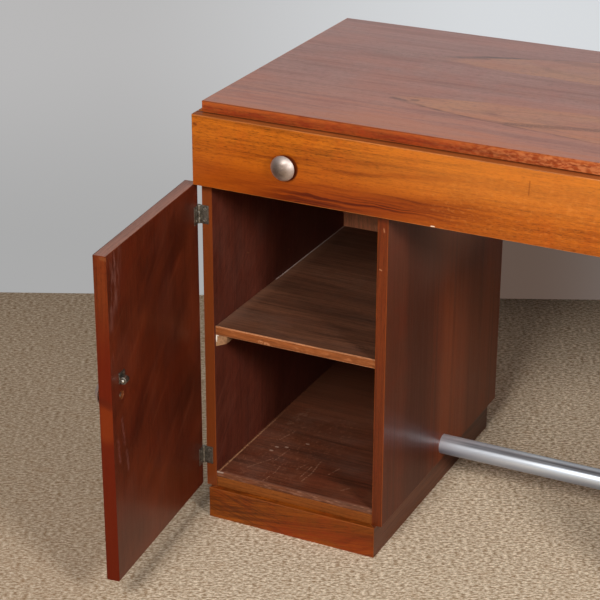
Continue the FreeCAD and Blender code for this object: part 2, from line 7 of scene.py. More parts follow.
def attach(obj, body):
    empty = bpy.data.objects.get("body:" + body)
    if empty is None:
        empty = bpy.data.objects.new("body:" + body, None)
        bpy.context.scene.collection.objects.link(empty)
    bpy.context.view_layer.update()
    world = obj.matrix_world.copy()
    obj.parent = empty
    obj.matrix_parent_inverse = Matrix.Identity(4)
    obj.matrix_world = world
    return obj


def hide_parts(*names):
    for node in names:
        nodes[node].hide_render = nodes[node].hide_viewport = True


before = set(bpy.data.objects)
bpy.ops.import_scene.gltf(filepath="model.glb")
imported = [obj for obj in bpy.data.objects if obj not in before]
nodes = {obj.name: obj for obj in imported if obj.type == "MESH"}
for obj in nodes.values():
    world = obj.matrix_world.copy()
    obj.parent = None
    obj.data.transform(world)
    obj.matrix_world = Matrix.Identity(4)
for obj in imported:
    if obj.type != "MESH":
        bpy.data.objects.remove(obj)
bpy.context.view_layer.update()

# ---------------------------------------------------------------------------------------------
# Pedestal sides: four upright boards with their grain up the desk. The faces that show are
# veneered dark, the insides are plain, and the front edges are lipped in an orange wood.

# Places are written in the desk's millimetres: X from the left end of the drawer front, Y back
# from its face, Z up from the floor.
MM = 0.001
DESK_CORNER = Vector((-587.4781, -127.0001, 0.0))
DESK_MIDDLE = 600.0
HINGE_LINE = Vector((-2.5, 23.0, 0.0))
DOOR_SWING = math.radians(84.15)


def placed(x, y, z):
    """A place on the desk, in millimetres, as a place in the frame, in metres."""
    return (Vector((x, y, z)) + DESK_CORNER) * MM


def measured(point):
    """A place in the frame, in metres, as a place on the desk, in millimetres."""
    return point / MM - DESK_CORNER


class Flow:
    """A number, place or colour on its way through the nodes of a finish. Sums and products of
    flows add the nodes that work them out."""

    def __init__(self, socket):
        self.socket = socket

    def __add__(self, other):
        return math_of("ADD", self, other)

    def __radd__(self, other):
        return math_of("ADD", other, self)

    def __sub__(self, other):
        return math_of("SUBTRACT", self, other)

    def __rsub__(self, other):
        return math_of("SUBTRACT", other, self)

    def __mul__(self, other):
        return math_of("MULTIPLY", self, other)

    def __truediv__(self, other):
        return math_of("DIVIDE", self, other)

    def __abs__(self):
        return math_of("ABSOLUTE", self)


def link(flow, end):
    """Leads a flow, or sets a fixed value, into a node's socket."""
    if isinstance(flow, Flow):
        end.id_data.links.new(flow.socket, end)
    else:
        end.default_value = flow


def fill(inputs, values):
    """Fills a node's sockets, by their names or numbers."""
    for key, value in values.items():
        link(value, inputs[key])


def add(tree, kind, sockets, **settings):
    """The outputs of a new node with its sockets filled and its settings made."""
    made = tree.nodes.new("ShaderNode" + kind)
    for name, value in settings.items():
        setattr(made, name, value)
    fill(made.inputs, sockets)
    return [Flow(socket) for socket in made.outputs]


def flow_of(tree, kind, output=0, sockets=None, **settings):
    """What flows out of a new node, at the output of that name or number."""
    made = add(tree, kind, sockets or {}, **settings)
    return next(flow for number, flow in enumerate(made)
                if output in (number, flow.socket.name))


def tree_of(*values):
    """The finish whose nodes the flows among the values run through."""
    return next(value.socket.id_data for value in values if isinstance(value, Flow))


def math_of(operation, *values):
    return add(tree_of(*values), "Math", dict(enumerate(values)), operation=operation)[0]


def larger(first, second):
    return math_of("MAXIMUM", first, second)


def clamped(flow):
    """The same sum, kept within 0 and 1."""
    flow.socket.node.use_clamp = True
    return flow


def vector_of(operation, *values, output=0):
    return flow_of(tree_of(*values), "VectorMath", output, operation=operation,
                   sockets=dict(enumerate(values)))


def axes_of(vector):
    return add(tree_of(vector), "SeparateXYZ", {0: vector})


def turned_place(spot, rotation):
    return flow_of(tree_of(spot), "Mapping", sockets={0: spot, "Rotation": rotation})


def noise_of(vector, scale, detail=3.0, roughness=0.55):
    """Noise on a vector that is first multiplied by a scale for each axis."""
    stretched = vector_of("MULTIPLY", vector, scale)
    return flow_of(tree_of(vector), "TexNoise",
                   sockets={"Vector": stretched, "Scale": 1.0, "Detail": detail,
                            "Roughness": roughness})


def ramp_of(value, start, end, at_start=0.0, at_end=1.0):
    return flow_of(tree_of(value), "MapRange", interpolation_type="SMOOTHSTEP",
                   sockets={"Value": value, "From Min": start, "From Max": end,
                            "To Min": at_start, "To Max": at_end})


def mix_of(factor, first, second, blend="MIX"):
    return flow_of(tree_of(factor, first, second), "Mix", 2, data_type="RGBA",
                   blend_type=blend, clamp_factor=True,
                   sockets={0: factor, 6: first, 7: second})


def tone(red, green, blue):
    """A display colour of 0 to 255 as the linear colour that shaders take."""
    linear = []
    for value in (red, green, blue):
        share = value / 255
        linear.append(share / 12.92 if share <= 0.04045 else ((share + 0.055) / 1.055) ** 2.4)
    return (*linear, 1.0)


# The wood itself: figure, growth lines, pores, red patches and dust, with the grain along X.
wood = bpy.data.node_groups.new("wood", "ShaderNodeTree")
NUMBER, COLOUR = "NodeSocketFloat", "NodeSocketColor"
for name, kind in (("Vector", "NodeSocketVector"), ("Dark", COLOUR), ("Light", COLOUR),
                   ("Red", COLOUR), ("Streaks", NUMBER), ("Lines", NUMBER),
                   ("Pores", NUMBER), ("Rings", NUMBER), ("Flecks", NUMBER),
                   ("Haze", NUMBER), ("Roughness", NUMBER)):
    wood.interface.new_socket(name, in_out="INPUT", socket_type=kind)
for name, kind in (("Color", COLOUR), ("Roughness", NUMBER), ("Height", NUMBER)):
    wood.interface.new_socket(name, in_out="OUTPUT", socket_type=kind)
given = {socket.name: Flow(socket) for socket in wood.nodes.new("NodeGroupInput").outputs}
result = wood.nodes.new("NodeGroupOutput").inputs
raw = given["Vector"]
wander = (noise_of(raw, (2.2, 9.0, 9.0), 2.0) - 0.5) * 0.03
offset = flow_of(wood, "CombineXYZ", sockets={0: 0.0, 1: wander, 2: wander})
grain = vector_of("ADD", raw, offset)
broad = ramp_of(noise_of(grain, (1.1, 34.0, 34.0), 4.0, 0.6), 0.34, 0.66)
fine = noise_of(grain, (5.0, 260.0, 260.0), 4.0, 0.65)
pore = ramp_of(noise_of(grain, (42.0, 1500.0, 1500.0), 1.0), 0.6, 0.72)
mottle = noise_of(raw, (26.0, 13.0, 13.0), 3.0)
across = axes_of(grain)
ring_place = across[1] * 62.0 + noise_of(raw, (2.4, 7.0, 7.0), 2.0) * 13.0 + across[2] * 62.0
ring = ramp_of(math_of("SINE", ring_place * 6.2832), 0.2, 1.0)
patch = ramp_of(noise_of(raw, (1.6, 5.0, 5.0), 2.0), 0.44, 0.62)
ring = ring * patch * given["Rings"]
streak = (1.0 - broad) * given["Streaks"]
shade = mix_of(streak, given["Light"], given["Dark"])
shade = mix_of(ring, shade, given["Dark"])
shade = mix_of(ramp_of(mottle, 0.46, 0.7, 0.0, 0.55), shade, given["Red"])
line = ramp_of(fine, 0.38, 0.68)
fleck = ramp_of(noise_of(raw, (120.0, 640.0, 640.0), 2.0, 0.6), 0.48, 0.7)
dim = 1.0 - line * given["Lines"] - pore * given["Pores"] - fleck * given["Flecks"]
shade = mix_of(1.0, shade, flow_of(wood, "CombineColor", sockets={0: dim, 1: dim, 2: dim}),
               "MULTIPLY")
cloud = ramp_of(noise_of(raw, (7.0, 11.0, 11.0), 5.0, 0.65), 0.45, 0.75) * given["Haze"]
shade = mix_of(cloud, shade, (0.3, 0.21, 0.17, 1.0))
link(shade, result["Color"])
link(clamped(given["Roughness"] + (fine - 0.5) * 0.22 + cloud * 0.6), result["Roughness"])
link(pore * -0.8 + fine * -0.35, result["Height"])


def stained(shade, *layers):
    """The shade under one layer after another, each a share and a display colour."""
    for share, *colour in layers:
        shade = mix_of(share, shade, tone(*colour))
    return shade


def line_mark(spot, start, end, width, soft=1.0, broken=0.0):
    """A mark along a line between two places, as a share of 0 to 1. It may be broken up."""
    start, end = Vector(start), Vector(end)
    away = vector_of("SUBTRACT", spot, start)
    length = end - start
    share = vector_of("DOT_PRODUCT", away, length / length.length_squared, output="Value")
    share = math_of("MINIMUM", larger(share, 0.0), 1.0)
    foot = flow_of(tree_of(spot), "VectorMath", operation="SCALE",
                   sockets={0: length, "Scale": share})
    gap = vector_of("DISTANCE", away, foot, output="Value")
    mark = ramp_of(gap, width / 2, width / 2 + soft, 1.0, 0.0)
    if broken:
        patches = noise_of(spot, (0.35, 0.35, 0.35), 3.0)
        mark = mark * ramp_of(patches, broken, broken + 0.1)
    return mark


def bump(height, strength, depth):
    """The small relief that a height gives a surface, with its depth in metres."""
    return flow_of(tree_of(height), "Bump",
                   sockets={"Strength": strength, "Distance": depth, "Height": height})


def new_finish(name):
    """A new finish: its material, its surface and the place being coloured, in metres."""
    material = bpy.data.materials.new(name)
    material.use_nodes = True
    tree = material.node_tree
    return material, tree.nodes["Principled BSDF"].inputs, flow_of(tree, "TexCoord", "Object")


def board_finish(name, along, dark, light, red, streaks=0.8, lines=0.35, pores=0.3, rings=0.0,
                 flecks=0.18, haze=0.0, roughness=0.34, gloss=0.25, polish=0.1, seed=0.0,
                 marks=None, slant=0.0, swung=False):
    """A board's own wood. Along is the grain's axis, gloss the surface's shine, polish the
    varnish over it, and marks adds the wear and figure that this board alone has."""
    material, surface, spot = new_finish(name)
    tree = material.node_tree
    spot = vector_of("MULTIPLY", spot, (1.0 / MM, 1.0 / MM, 1.0 / MM))
    spot = vector_of("SUBTRACT", spot, DESK_CORNER)
    if swung:
        spot = flow_of(tree, "VectorRotate", rotation_type="Z_AXIS",
                       sockets={"Vector": spot, "Center": HINGE_LINE, "Angle": DOOR_SWING})
    seeded = flow_of(tree, "Mapping",
                     sockets={0: spot, "Location": (seed, seed * 0.7, seed * 0.4),
                              "Rotation": (0.0, slant, 0.0), "Scale": (MM, MM, MM)})
    axes = axes_of(seeded)
    order = {"X": (0, 1, 2), "Y": (1, 0, 2), "Z": (2, 0, 1)}[along]
    grain_first = flow_of(tree, "CombineXYZ", sockets={k: axes[order[k]] for k in range(3)})
    figure = tree.nodes.new("ShaderNodeGroup")
    figure.node_tree = wood
    fill(figure.inputs, {"Vector": grain_first, "Dark": tone(*dark), "Light": tone(*light),
                         "Red": tone(*red), "Streaks": streaks, "Lines": lines,
                         "Pores": pores, "Rings": rings, "Flecks": flecks, "Haze": haze,
                         "Roughness": roughness})
    shade, rough, height = (Flow(socket) for socket in figure.outputs)
    if marks:
        shade = marks(spot, shade)
    fill(surface, {"Base Color": shade, "Roughness": rough, "Specular IOR Level": gloss,
                   "Coat Weight": polish, "Coat Roughness": 0.2,
                   "Normal": bump(height, 0.25, 0.0003)})
    return material


def dress(node, finish, arris, width=0.6, shortest=14.0, others=()):
    """Gives a board its wood and rounds its long edges, in the tone of a worn arris. Others
    are (wood, test) pairs for faces of another wood, tested by their place and normal."""
    piece = nodes[node]
    mesh = piece.data
    mesh.materials.clear()
    mesh.materials.append(finish)
    mesh.materials.append(arris)
    for other, test in others:
        mesh.materials.append(other)
    uses = {}
    for face in mesh.polygons:
        for key in face.edge_keys:
            uses[key] = uses.get(key, 0) + 1
        middle = measured(face.center)
        for number, (other, test) in enumerate(others):
            if test(middle, face.normal):
                face.material_index = number + 2
    weights = mesh.attributes.new("bevel_weight_edge", "FLOAT", "EDGE")
    for edge in mesh.edges:
        start, end = (mesh.vertices[index].co for index in edge.vertices)
        if uses.get(edge.key) == 1 and (end - start).length > shortest * MM:
            weights.data[edge.index].value = 1.0
    weld = piece.modifiers.new("weld", "WELD")
    weld.merge_threshold = 0.000002
    bevel = piece.modifiers.new("arris", "BEVEL")
    bevel.limit_method = "WEIGHT"
    bevel.width = width * MM
    bevel.segments = 2
    bevel.use_clamp_overlap = False
    bevel.material = 1


def side_chips(spot, shade):
    """The outer lipping is yellower, the inner one redder, with two pale chips."""
    across = axes_of(spot)[0]
    near_end = ramp_of(abs(across - DESK_MIDDLE), 300.0, 560.0)
    chip = line_mark(spot, (323.5, 24, 586), (324.5, 24, 581), 0.6, 1.4)
    chip = larger(chip, line_mark(spot, (318, 24, 517), (321, 24, 516), 0.8, 1.2))
    return stained(shade, (near_end * 0.6, 124, 60, 24), (chip * 0.4, 204, 140, 100))


def side_bands_and_light(spot, shade):
    """Broad soft bands up the veneer, dark and red by turns, and painted light high up toward
    the back.
    """
    axes = axes_of(spot)
    wander = noise_of(spot, (0.001, 0.012, 0.0016), 3.0) * 60.0 - 30.0
    across = axes[1] + wander
    shade = mix_of(ramp_of(axes[1], 200.0, 500.0, 0.0, 0.45), shade, tone(152, 78, 44))
    for middle, width, share, stain in ((170.0, 90.0, 0.6, (56, 20, 10)),
                                        (300.0, 50.0, 0.5, (124, 56, 24)),
                                        (425.0, 60.0, 0.3, (58, 24, 12)),
                                        (525.0, 40.0, 0.4, (120, 62, 34)),
                                        (60.0, 50.0, 0.25, (70, 26, 12))):
        band = ramp_of(abs(across - middle), width * 0.25, width, share, 0.0)
        shade = stained(shade, (band, *stain))
    fine = noise_of(spot, (0.05, 0.09, 0.0016), 3.0, 0.55)
    # Painted light: the upper back of the side is made pale.
    painted_upper_light = (ramp_of(axes[2], 380.0, 590.0, 0.0, 0.95)
             * ramp_of(axes[1], 110.0, 420.0, 0.05, 1.0))
    return stained(shade, (ramp_of(fine, 0.5, 0.64, 0.0, 0.35), 58, 24, 12),
                   (painted_upper_light, 218, 166, 144))


def room_wear_and_light(spot, shade):
    """Two small scuffs, slanting smears, fine dark hatching, and painted light that makes the
    far end paler.
    """
    scuff = line_mark(spot, (21, 145, 446), (21, 149, 444), 0.8, 1.6)
    scuff = larger(scuff, line_mark(spot, (21, 300, 395), (21, 304, 393), 0.6, 1.4))
    slanted = turned_place(spot, (0.7, 0.0, 0.0))
    smear = noise_of(slanted, (0.02, 0.03, 0.008), 4.0, 0.6)
    hatch = noise_of(slanted, (0.02, 0.25, 0.03), 4.0, 0.65)
    # Painted light: the room grows paler toward its back.
    depth = axes_of(spot)[1]
    return stained(shade, (scuff * 0.25, 176, 118, 80),
                   (ramp_of(smear, 0.48, 0.75, 0.0, 0.4), 112, 58, 44),
                   (ramp_of(hatch, 0.48, 0.72, 0.0, 0.45), 52, 20, 14),
                   (ramp_of(depth, 190.0, 500.0, 0.0, 0.5), 132, 78, 62))


lipping_wood = board_finish("lipping_wood", "Z", (74, 26, 6), (108, 44, 12), (100, 36, 10),
                            streaks=0.7, lines=0.3, seed=0.6, roughness=0.36, marks=side_chips)
lipping_arris = board_finish("lipping_arris", "Z", (96, 42, 12), (146, 68, 22), (126, 54, 18),
                             streaks=0.5, lines=0.3, seed=0.2, roughness=0.4)
side_veneer = board_finish("side_veneer", "Z", (76, 30, 14), (100, 44, 22), (104, 38, 15),
                           streaks=0.4, lines=0.12, flecks=0.12, seed=0.9, roughness=0.36,
                           gloss=0.1, polish=0.05, marks=side_bands_and_light)
room_wood = board_finish("room_wood", "Z", (70, 30, 20), (98, 44, 30), (92, 36, 23),
                         streaks=0.4, lines=0.2, seed=0.4, haze=0.06, roughness=0.55,
                         gloss=0.2, polish=0.0, marks=room_wear_and_light)
carcase_wood = board_finish("carcase_wood", "Z", (110, 62, 34), (160, 98, 58), (140, 78, 44),
                            streaks=0.6, seed=1.3, roughness=0.6, gloss=0.2, polish=0.0)


def on_front_edge(middle, normal):
    return normal.y < -0.7 and middle.y < 25.0


def on_hidden_edge(middle, normal):
    return normal.y > 0.7 or abs(normal.z) > 0.7


def faces_room(middle, normal):
    """True on the faces that look into a pedestal's own room."""
    from_end = middle.x if middle.x < DESK_MIDDLE else 2 * DESK_MIDDLE - middle.x
    return abs(normal.x) > 0.7 and 15.0 < from_end < 320.0


for name in ("left_outer_side", "left_inner_side", "right_outer_side", "right_inner_side"):
    dress(name, side_veneer, lipping_arris, 0.9, 60.0,
          [(lipping_wood, on_front_edge), (carcase_wood, on_hidden_edge),
           (room_wood, faces_room)])

# ---------------------------------------------------------------------------------------------
# Pedestal backs and tops: plain panels let into the sides. The backs were left a paler brown
# inside, and the tops stay dark under the belt.
back_wood = board_finish("back_wood", "Z", (240, 140, 96), (244, 160, 116), (244, 148, 102),
                         streaks=0.2, lines=0.2, flecks=0.1, seed=6.3, roughness=0.6,
                         gloss=0.2, polish=0.0)
panel_arris = board_finish("panel_arris", "X", (110, 62, 38), (160, 98, 66), (140, 80, 50),
                           streaks=0.5, roughness=0.55, gloss=0.2, polish=0.0)
for side in ("left_", "right_"):
    dress(side + "back_panel", back_wood, panel_arris, 0.4)
    dress(side + "top_panel", room_wood, panel_arris, 0.4)


# ---------------------------------------------------------------------------------------------
# Shelves: one loose board in each pedestal, veneered on top with its grain across the desk,
# and an orange front edge whose arris is rubbed pale.
def on_front(middle, normal):
    return normal.y < -0.5


def shelf_wear(spot, shade):
    """Light dust along the side joint, darker streaks, and a stain near the right end."""
    seam = line_mark(spot, (22, 250, 357.5), (22, 532, 357.5), 2.6, 1.6, 0.4)
    dust = line_mark(spot, (21.5, 30, 357.5), (21.5, 532, 357.5), 1.0, 26.0)
    long_streak = noise_of(spot, (0.006, 0.07, 0.07), 4.0, 0.62)
    stain = line_mark(spot, (270, 60, 357.5), (300, 52, 357.5), 6.0, 8.0, 0.46)
    return stained(shade, (seam * 0.8, 224, 206, 198), (dust * 0.22, 150, 108, 86),
                   (ramp_of(long_streak, 0.53, 0.72, 0.0, 0.5), 38, 22, 14),
                   (stain * 0.45, 30, 18, 10))


def shelf_edge_wear(spot, shade):
    """Rubbed places along the shelf's front edge."""
    rub = noise_of(spot, (0.05, 0.3, 0.22), 4.0, 0.65)
    chip = line_mark(spot, (104, 28, 346), (120, 28, 344), 2.0, 3.0, 0.42)
    return stained(shade, (ramp_of(rub, 0.54, 0.72, 0.0, 0.5), 188, 120, 76),
                   (chip * 0.55, 206, 146, 104))


shelf_wood = board_finish("shelf_wood", "X", (68, 42, 30), (108, 68, 48), (98, 58, 40),
                          streaks=0.6, lines=0.3, pores=0.4, seed=2.2, haze=0.1,
                          roughness=0.55, gloss=0.25, polish=0.0, marks=shelf_wear)
shelf_edge_wood = board_finish("shelf_edge_wood", "X", (106, 54, 24), (152, 86, 44),
                               (136, 70, 32), streaks=0.6, lines=0.35, seed=2.6,
                               roughness=0.5, gloss=0.2, polish=0.0, marks=shelf_edge_wear)
rubbed_arris = board_finish("rubbed_arris", "X", (140, 84, 52), (206, 142, 100),
                            (178, 110, 72), streaks=0.8, lines=0.4, seed=2.8, roughness=0.55,
                            gloss=0.2, polish=0.0)
for side in ("left_", "right_"):
    dress(side + "shelf", shelf_wood, rubbed_arris, 0.7, 14.0,
          [(shelf_edge_wood, on_front)])


# ---------------------------------------------------------------------------------------------
# Shelf cleats: strips of pale wood screwed to the sides, left unstained, with a bevelled
# underside. The ends are end grain, and the left one has a white chip at its top corner.
def cleat_wear(spot, shade):
    """White chips at the left cleat's top corner, and brown stains all over."""
    chip = line_mark(spot, (21, 30, 341), (25, 30, 340.5), 1.6, 1.4)
    chip = larger(chip, line_mark(spot, (22, 30, 340), (22, 30, 330), 1.6, 1.6, 0.4))
    stain = noise_of(spot, (0.12, 0.12, 0.12), 4.0, 0.6)
    return stained(shade, (chip, 244, 236, 222),
                   (ramp_of(stain, 0.5, 0.72, 0.0, 0.5), 120, 74, 48))


cleat_wood = board_finish("cleat_wood", "Y", (128, 90, 62), (178, 134, 98), (158, 110, 76),
                          streaks=0.6, lines=0.3, seed=5.0, roughness=0.7, gloss=0.15,
                          polish=0.0, marks=cleat_wear)
dress("shelf_cleats", cleat_wood, cleat_wood, 0.4)


# ---------------------------------------------------------------------------------------------
# Floor panels: dark boards housed in the sides. The left one is scratched where things were
# slid in and out, dusty along the wall, and worn to a pale grey pink along its front edge.
def floor_edge_wear(spot, shade):
    """The front edge is rubbed pale in places, most along its arris and at its left end."""
    rub = noise_of(spot, (0.06, 0.2, 0.3), 4.0, 0.65)
    corner = line_mark(spot, (21, 26, 83), (32, 26, 83.5), 1.0, 2.0)
    dirt = noise_of(spot, (0.03, 0.2, 0.16), 3.0, 0.6)
    return stained(shade, (ramp_of(rub, 0.46, 0.7, 0.0, 0.5), 154, 110, 88),
                   (corner * 0.35, 220, 204, 190),
                   (ramp_of(dirt, 0.52, 0.7, 0.0, 0.5), 70, 38, 24))


def floor_wear_and_light(spot, shade):
    """Fine scratches near the front, pale spots and flecks, dust and a pale line along the
    left wall, dark streaks, painted light that makes the far end paler, and a pale lip."""
    scratches = [((106, 26, 84), (111, 62, 84)), ((112, 64, 84), (110, 96, 84)),
                 ((166, 58, 84), (170, 92, 84)), ((170, 92, 84), (166, 136, 84)),
                 ((158, 70, 84), (160, 112, 84)), ((60, 60, 84), (84, 104, 84)),
                 ((92, 104, 84), (98, 150, 84)), ((140, 92, 84), (150, 120, 84)),
                 ((196, 96, 84), (206, 128, 84)), ((240, 60, 84), (250, 74, 84)),
                 ((66, 176, 84), (76, 214, 84)), ((52, 236, 84), (66, 250, 84))]
    worn = 0.0
    for start, end in scratches:
        worn = larger(worn, line_mark(spot, start, end, 0.4, 1.5, 0.44))
    spots = 0.0
    for place in ((69, 134, 84), (72, 150, 84), (116, 183, 84), (88, 156, 84)):
        spots = larger(spots, line_mark(spot, place, (place[0] + 3, place[1], 84), 1.6, 2.4))
    fleck = noise_of(spot, (0.2, 0.13, 0.16), 4.0, 0.7)
    near = line_mark(spot, (70, 50, 84), (120, 230, 84), 60.0, 90.0)
    fleck = ramp_of(fleck, 0.52, 0.72) * near
    dusty = line_mark(spot, (46, 240, 84), (72, 310, 84), 2.0, 14.0)
    cloudy = noise_of(spot, (0.09, 0.06, 0.09), 4.0, 0.65)
    dusty = dusty * ramp_of(cloudy, 0.45, 0.7)
    grain = noise_of(spot, (0.005, 0.09, 0.09), 4.0, 0.6)
    # Painted light: the floor panel grows paler toward its back.
    depth = axes_of(spot)[1]
    seam = line_mark(spot, (24.3, 26, 84), (24.3, 532, 84), 2.0, 0.8, 0.36)
    fade = line_mark(spot, (24.3, 26, 84), (24.3, 120, 84), 10.0, 190.0)
    seam = seam * (fade * 0.5)
    lip = line_mark(spot, (24, 27, 84), (312, 27, 84), 3.0, 4.0)
    return stained(shade, (worn * 0.34, 190, 140, 112), (spots * 0.45, 206, 170, 148),
                   (fleck * 0.35, 160, 104, 78), (dusty * 0.5, 150, 112, 92),
                   (ramp_of(grain, 0.5, 0.68, 0.0, 0.5), 48, 24, 15),
                   (ramp_of(depth, 120.0, 500.0, 0.0, 0.5), 118, 74, 52),
                   (seam, 206, 152, 112), (lip * 0.5, 140, 92, 72))


floor_wood = board_finish("floor_wood", "X", (66, 32, 20), (108, 58, 38), (100, 46, 28),
                          streaks=0.5, lines=0.25, seed=2.9, haze=0.1, roughness=0.5,
                          gloss=0.25, polish=0.0, marks=floor_wear_and_light)
floor_edge_wood = board_finish("floor_edge_wood", "X", (84, 46, 28), (128, 76, 50),
                               (114, 62, 38), streaks=0.7, lines=0.4, seed=3.0, haze=0.1,
                               roughness=0.6, gloss=0.2, polish=0.0, marks=floor_edge_wear)
for side in ("left_", "right_"):
    dress(side + "floor_panel", floor_wood, floor_edge_wood, 0.9, 14.0,
          [(floor_edge_wood, on_front)])

# ---------------------------------------------------------------------------------------------
# Floor rails and plinths: an orange brown rail closes the space under each floor, and a frame
# of four boards, mitred at the front, carries the pedestal and stands proud of it.


def plinth_figure(spot, shade):
    """Redder wood low on the right of the front, and dark slanting strands on its left."""
    low_right = line_mark(spot, (130, 14, 4), (322, 14, 16), 16.0, 26.0)
    grain_break = noise_of(spot, (0.012, 0.1, 0.09), 3.0, 0.6)
    red = low_right * ramp_of(grain_break, 0.3, 0.6, 0.15, 0.6)
    slanted = turned_place(spot, (0.0, -0.3, 0.0))
    strand = noise_of(slanted, (0.01, 0.2, 0.22), 4.0, 0.6)
    left = line_mark(spot, (10, 14, 20), (120, 14, 40), 30.0, 50.0)
    strand = ramp_of(strand, 0.46, 0.64) * left
    return stained(shade, (red, 128, 40, 8), (strand * 0.6, 70, 28, 8))


rail_wood = board_finish("rail_wood", "X", (98, 48, 16), (142, 78, 30), (128, 64, 22),
                         streaks=0.7, lines=0.35, seed=3.9, roughness=0.45, gloss=0.2,
                         polish=0.0)
plinth_wood = board_finish("plinth_wood", "X", (82, 34, 6), (152, 76, 16), (130, 50, 10),
                           streaks=0.8, lines=0.4, rings=0.5, seed=3.4, roughness=0.38,
                           gloss=0.2, slant=0.14, marks=plinth_figure)
plinth_side_wood = board_finish("plinth_side_wood", "Y", (70, 30, 14), (112, 56, 30),
                                (98, 42, 20), streaks=0.7, lines=0.35, seed=3.7,
                                roughness=0.4, gloss=0.25, polish=0.1)
plinth_arris = board_finish("plinth_arris", "X", (100, 48, 16), (156, 82, 32), (136, 66, 24),
                            streaks=0.6, lines=0.3, seed=3.5, roughness=0.4)
for side in ("left_", "right_"):
    dress(side + "floor_rail", rail_wood, rail_wood, 0.4)
    dress(side + "plinth_front", plinth_wood, plinth_arris, 0.6)
    dress(side + "plinth_sides", plinth_side_wood, plinth_arris, 0.5)
    dress(side + "plinth_back", plinth_side_wood, plinth_arris, 0.5)

# ---------------------------------------------------------------------------------------------
# Belt: the shallow case under the worktop, with rails, runners, kickers and stops for the
# drawer. Outside it is veneered as the drawer front is, and inside it is plain pale wood.
belt_veneer, belt_long_veneer = (
    board_finish(name, along, (134, 60, 14), (184, 98, 30), (166, 78, 20), streaks=0.75,
                 lines=0.32, pores=0.4, seed=seed, roughness=0.34, polish=0.2)
    for name, along, seed in (("belt_veneer", "Y", 0.8), ("belt_long_veneer", "X", 1.1)))
belt_arris = board_finish("belt_arris", "X", (138, 70, 24), (190, 112, 52), (170, 92, 38),
                          streaks=0.5, roughness=0.4)
pale_wood, pale_long_wood = (
    board_finish(name, along, (150, 104, 66), (206, 160, 112), (188, 138, 90), streaks=0.6,
                 lines=0.3, seed=seed, roughness=0.6, gloss=0.2, polish=0.0)
    for name, along, seed in (("pale_wood", "X", 5.6), ("pale_long_wood", "Y", 5.9)))
for name in ("belt_left_side", "belt_right_side"):
    dress(name, belt_veneer, belt_arris, 0.5)
dress("belt_back", belt_long_veneer, belt_arris, 0.5)
dress("belt_front_rail", rail_wood, rail_wood, 0.5)
dress("belt_top_rail", rail_wood, rail_wood, 0.5)
dress("belt_bottom_panel", pale_wood, pale_wood, 0.4)
for name in ("drawer_runners", "drawer_kickers", "drawer_stops"):
    dress(name, pale_long_wood, pale_long_wood, 0.4)


# ---------------------------------------------------------------------------------------------
# Worktop: a veneered slab, polished, with its grain along the desk. Two arched figures point
# left from its right part, and the solid front edge is a redder wood with a soft arris.
def arch_figure(spot, shade, tip, length, spread, lean, dark_side):
    """A pointed arch of crown-cut veneer that opens to the right: pale orange inside, with a
    dark line on one side and a light line on the other."""
    axes = axes_of(spot)
    wave = noise_of(spot, (0.012, 0.04, 0.04), 3.0, 0.6)
    run = (axes[0] - tip[0]) / length
    off = axes[1] - tip[1] - run * lean
    rise = off / spread + (wave - 0.5) * 0.3
    arch = run - rise * rise
    patches = noise_of(spot, (0.02, 0.05, 0.05), 3.0, 0.6)
    body = ramp_of(arch, -0.01, 0.06) * ramp_of(arch, 0.3, 1.3, 0.62, 0.3)
    body = body * ramp_of(patches, 0.3, 0.6, 0.5, 1.0)
    inner = abs(arch - 0.5)
    rim = ramp_of(abs(arch), 0.0, 0.1, 1.0, 0.0)
    side = rise * dark_side
    dark = rim * ramp_of(side, -0.06, 0.12) * ramp_of(patches, 0.36, 0.58, 0.2, 1.0)
    pale = rim * ramp_of(side, 0.0, -0.2, 0.0, 0.45)
    return stained(shade, (body, 204, 140, 94),
                   (ramp_of(inner, 0.0, 0.08, 0.3, 0.0), 110, 62, 46), (dark, 44, 36, 34),
                   (pale, 206, 138, 84))


def top_edge_figure(spot, shade):
    """The edge is paler upward, mottled in red with small marks, and rubbed to the right."""
    across, _, level = axes_of(spot)
    mottle = noise_of(spot, (0.035, 0.05, 0.12), 3.0, 0.6)
    patches = noise_of(spot, (0.12, 0.1, 0.3), 3.0)
    rub = ramp_of(across, 340.0, 640.0, 0.0, 0.5) * ramp_of(patches, 0.4, 0.62)
    return stained(shade, (ramp_of(level, 741.0, 747.0, 0.0, 0.5), 172, 84, 32),
                   (ramp_of(mottle, 0.48, 0.66, 0.0, 0.55), 116, 32, 10), (rub, 204, 126, 76))


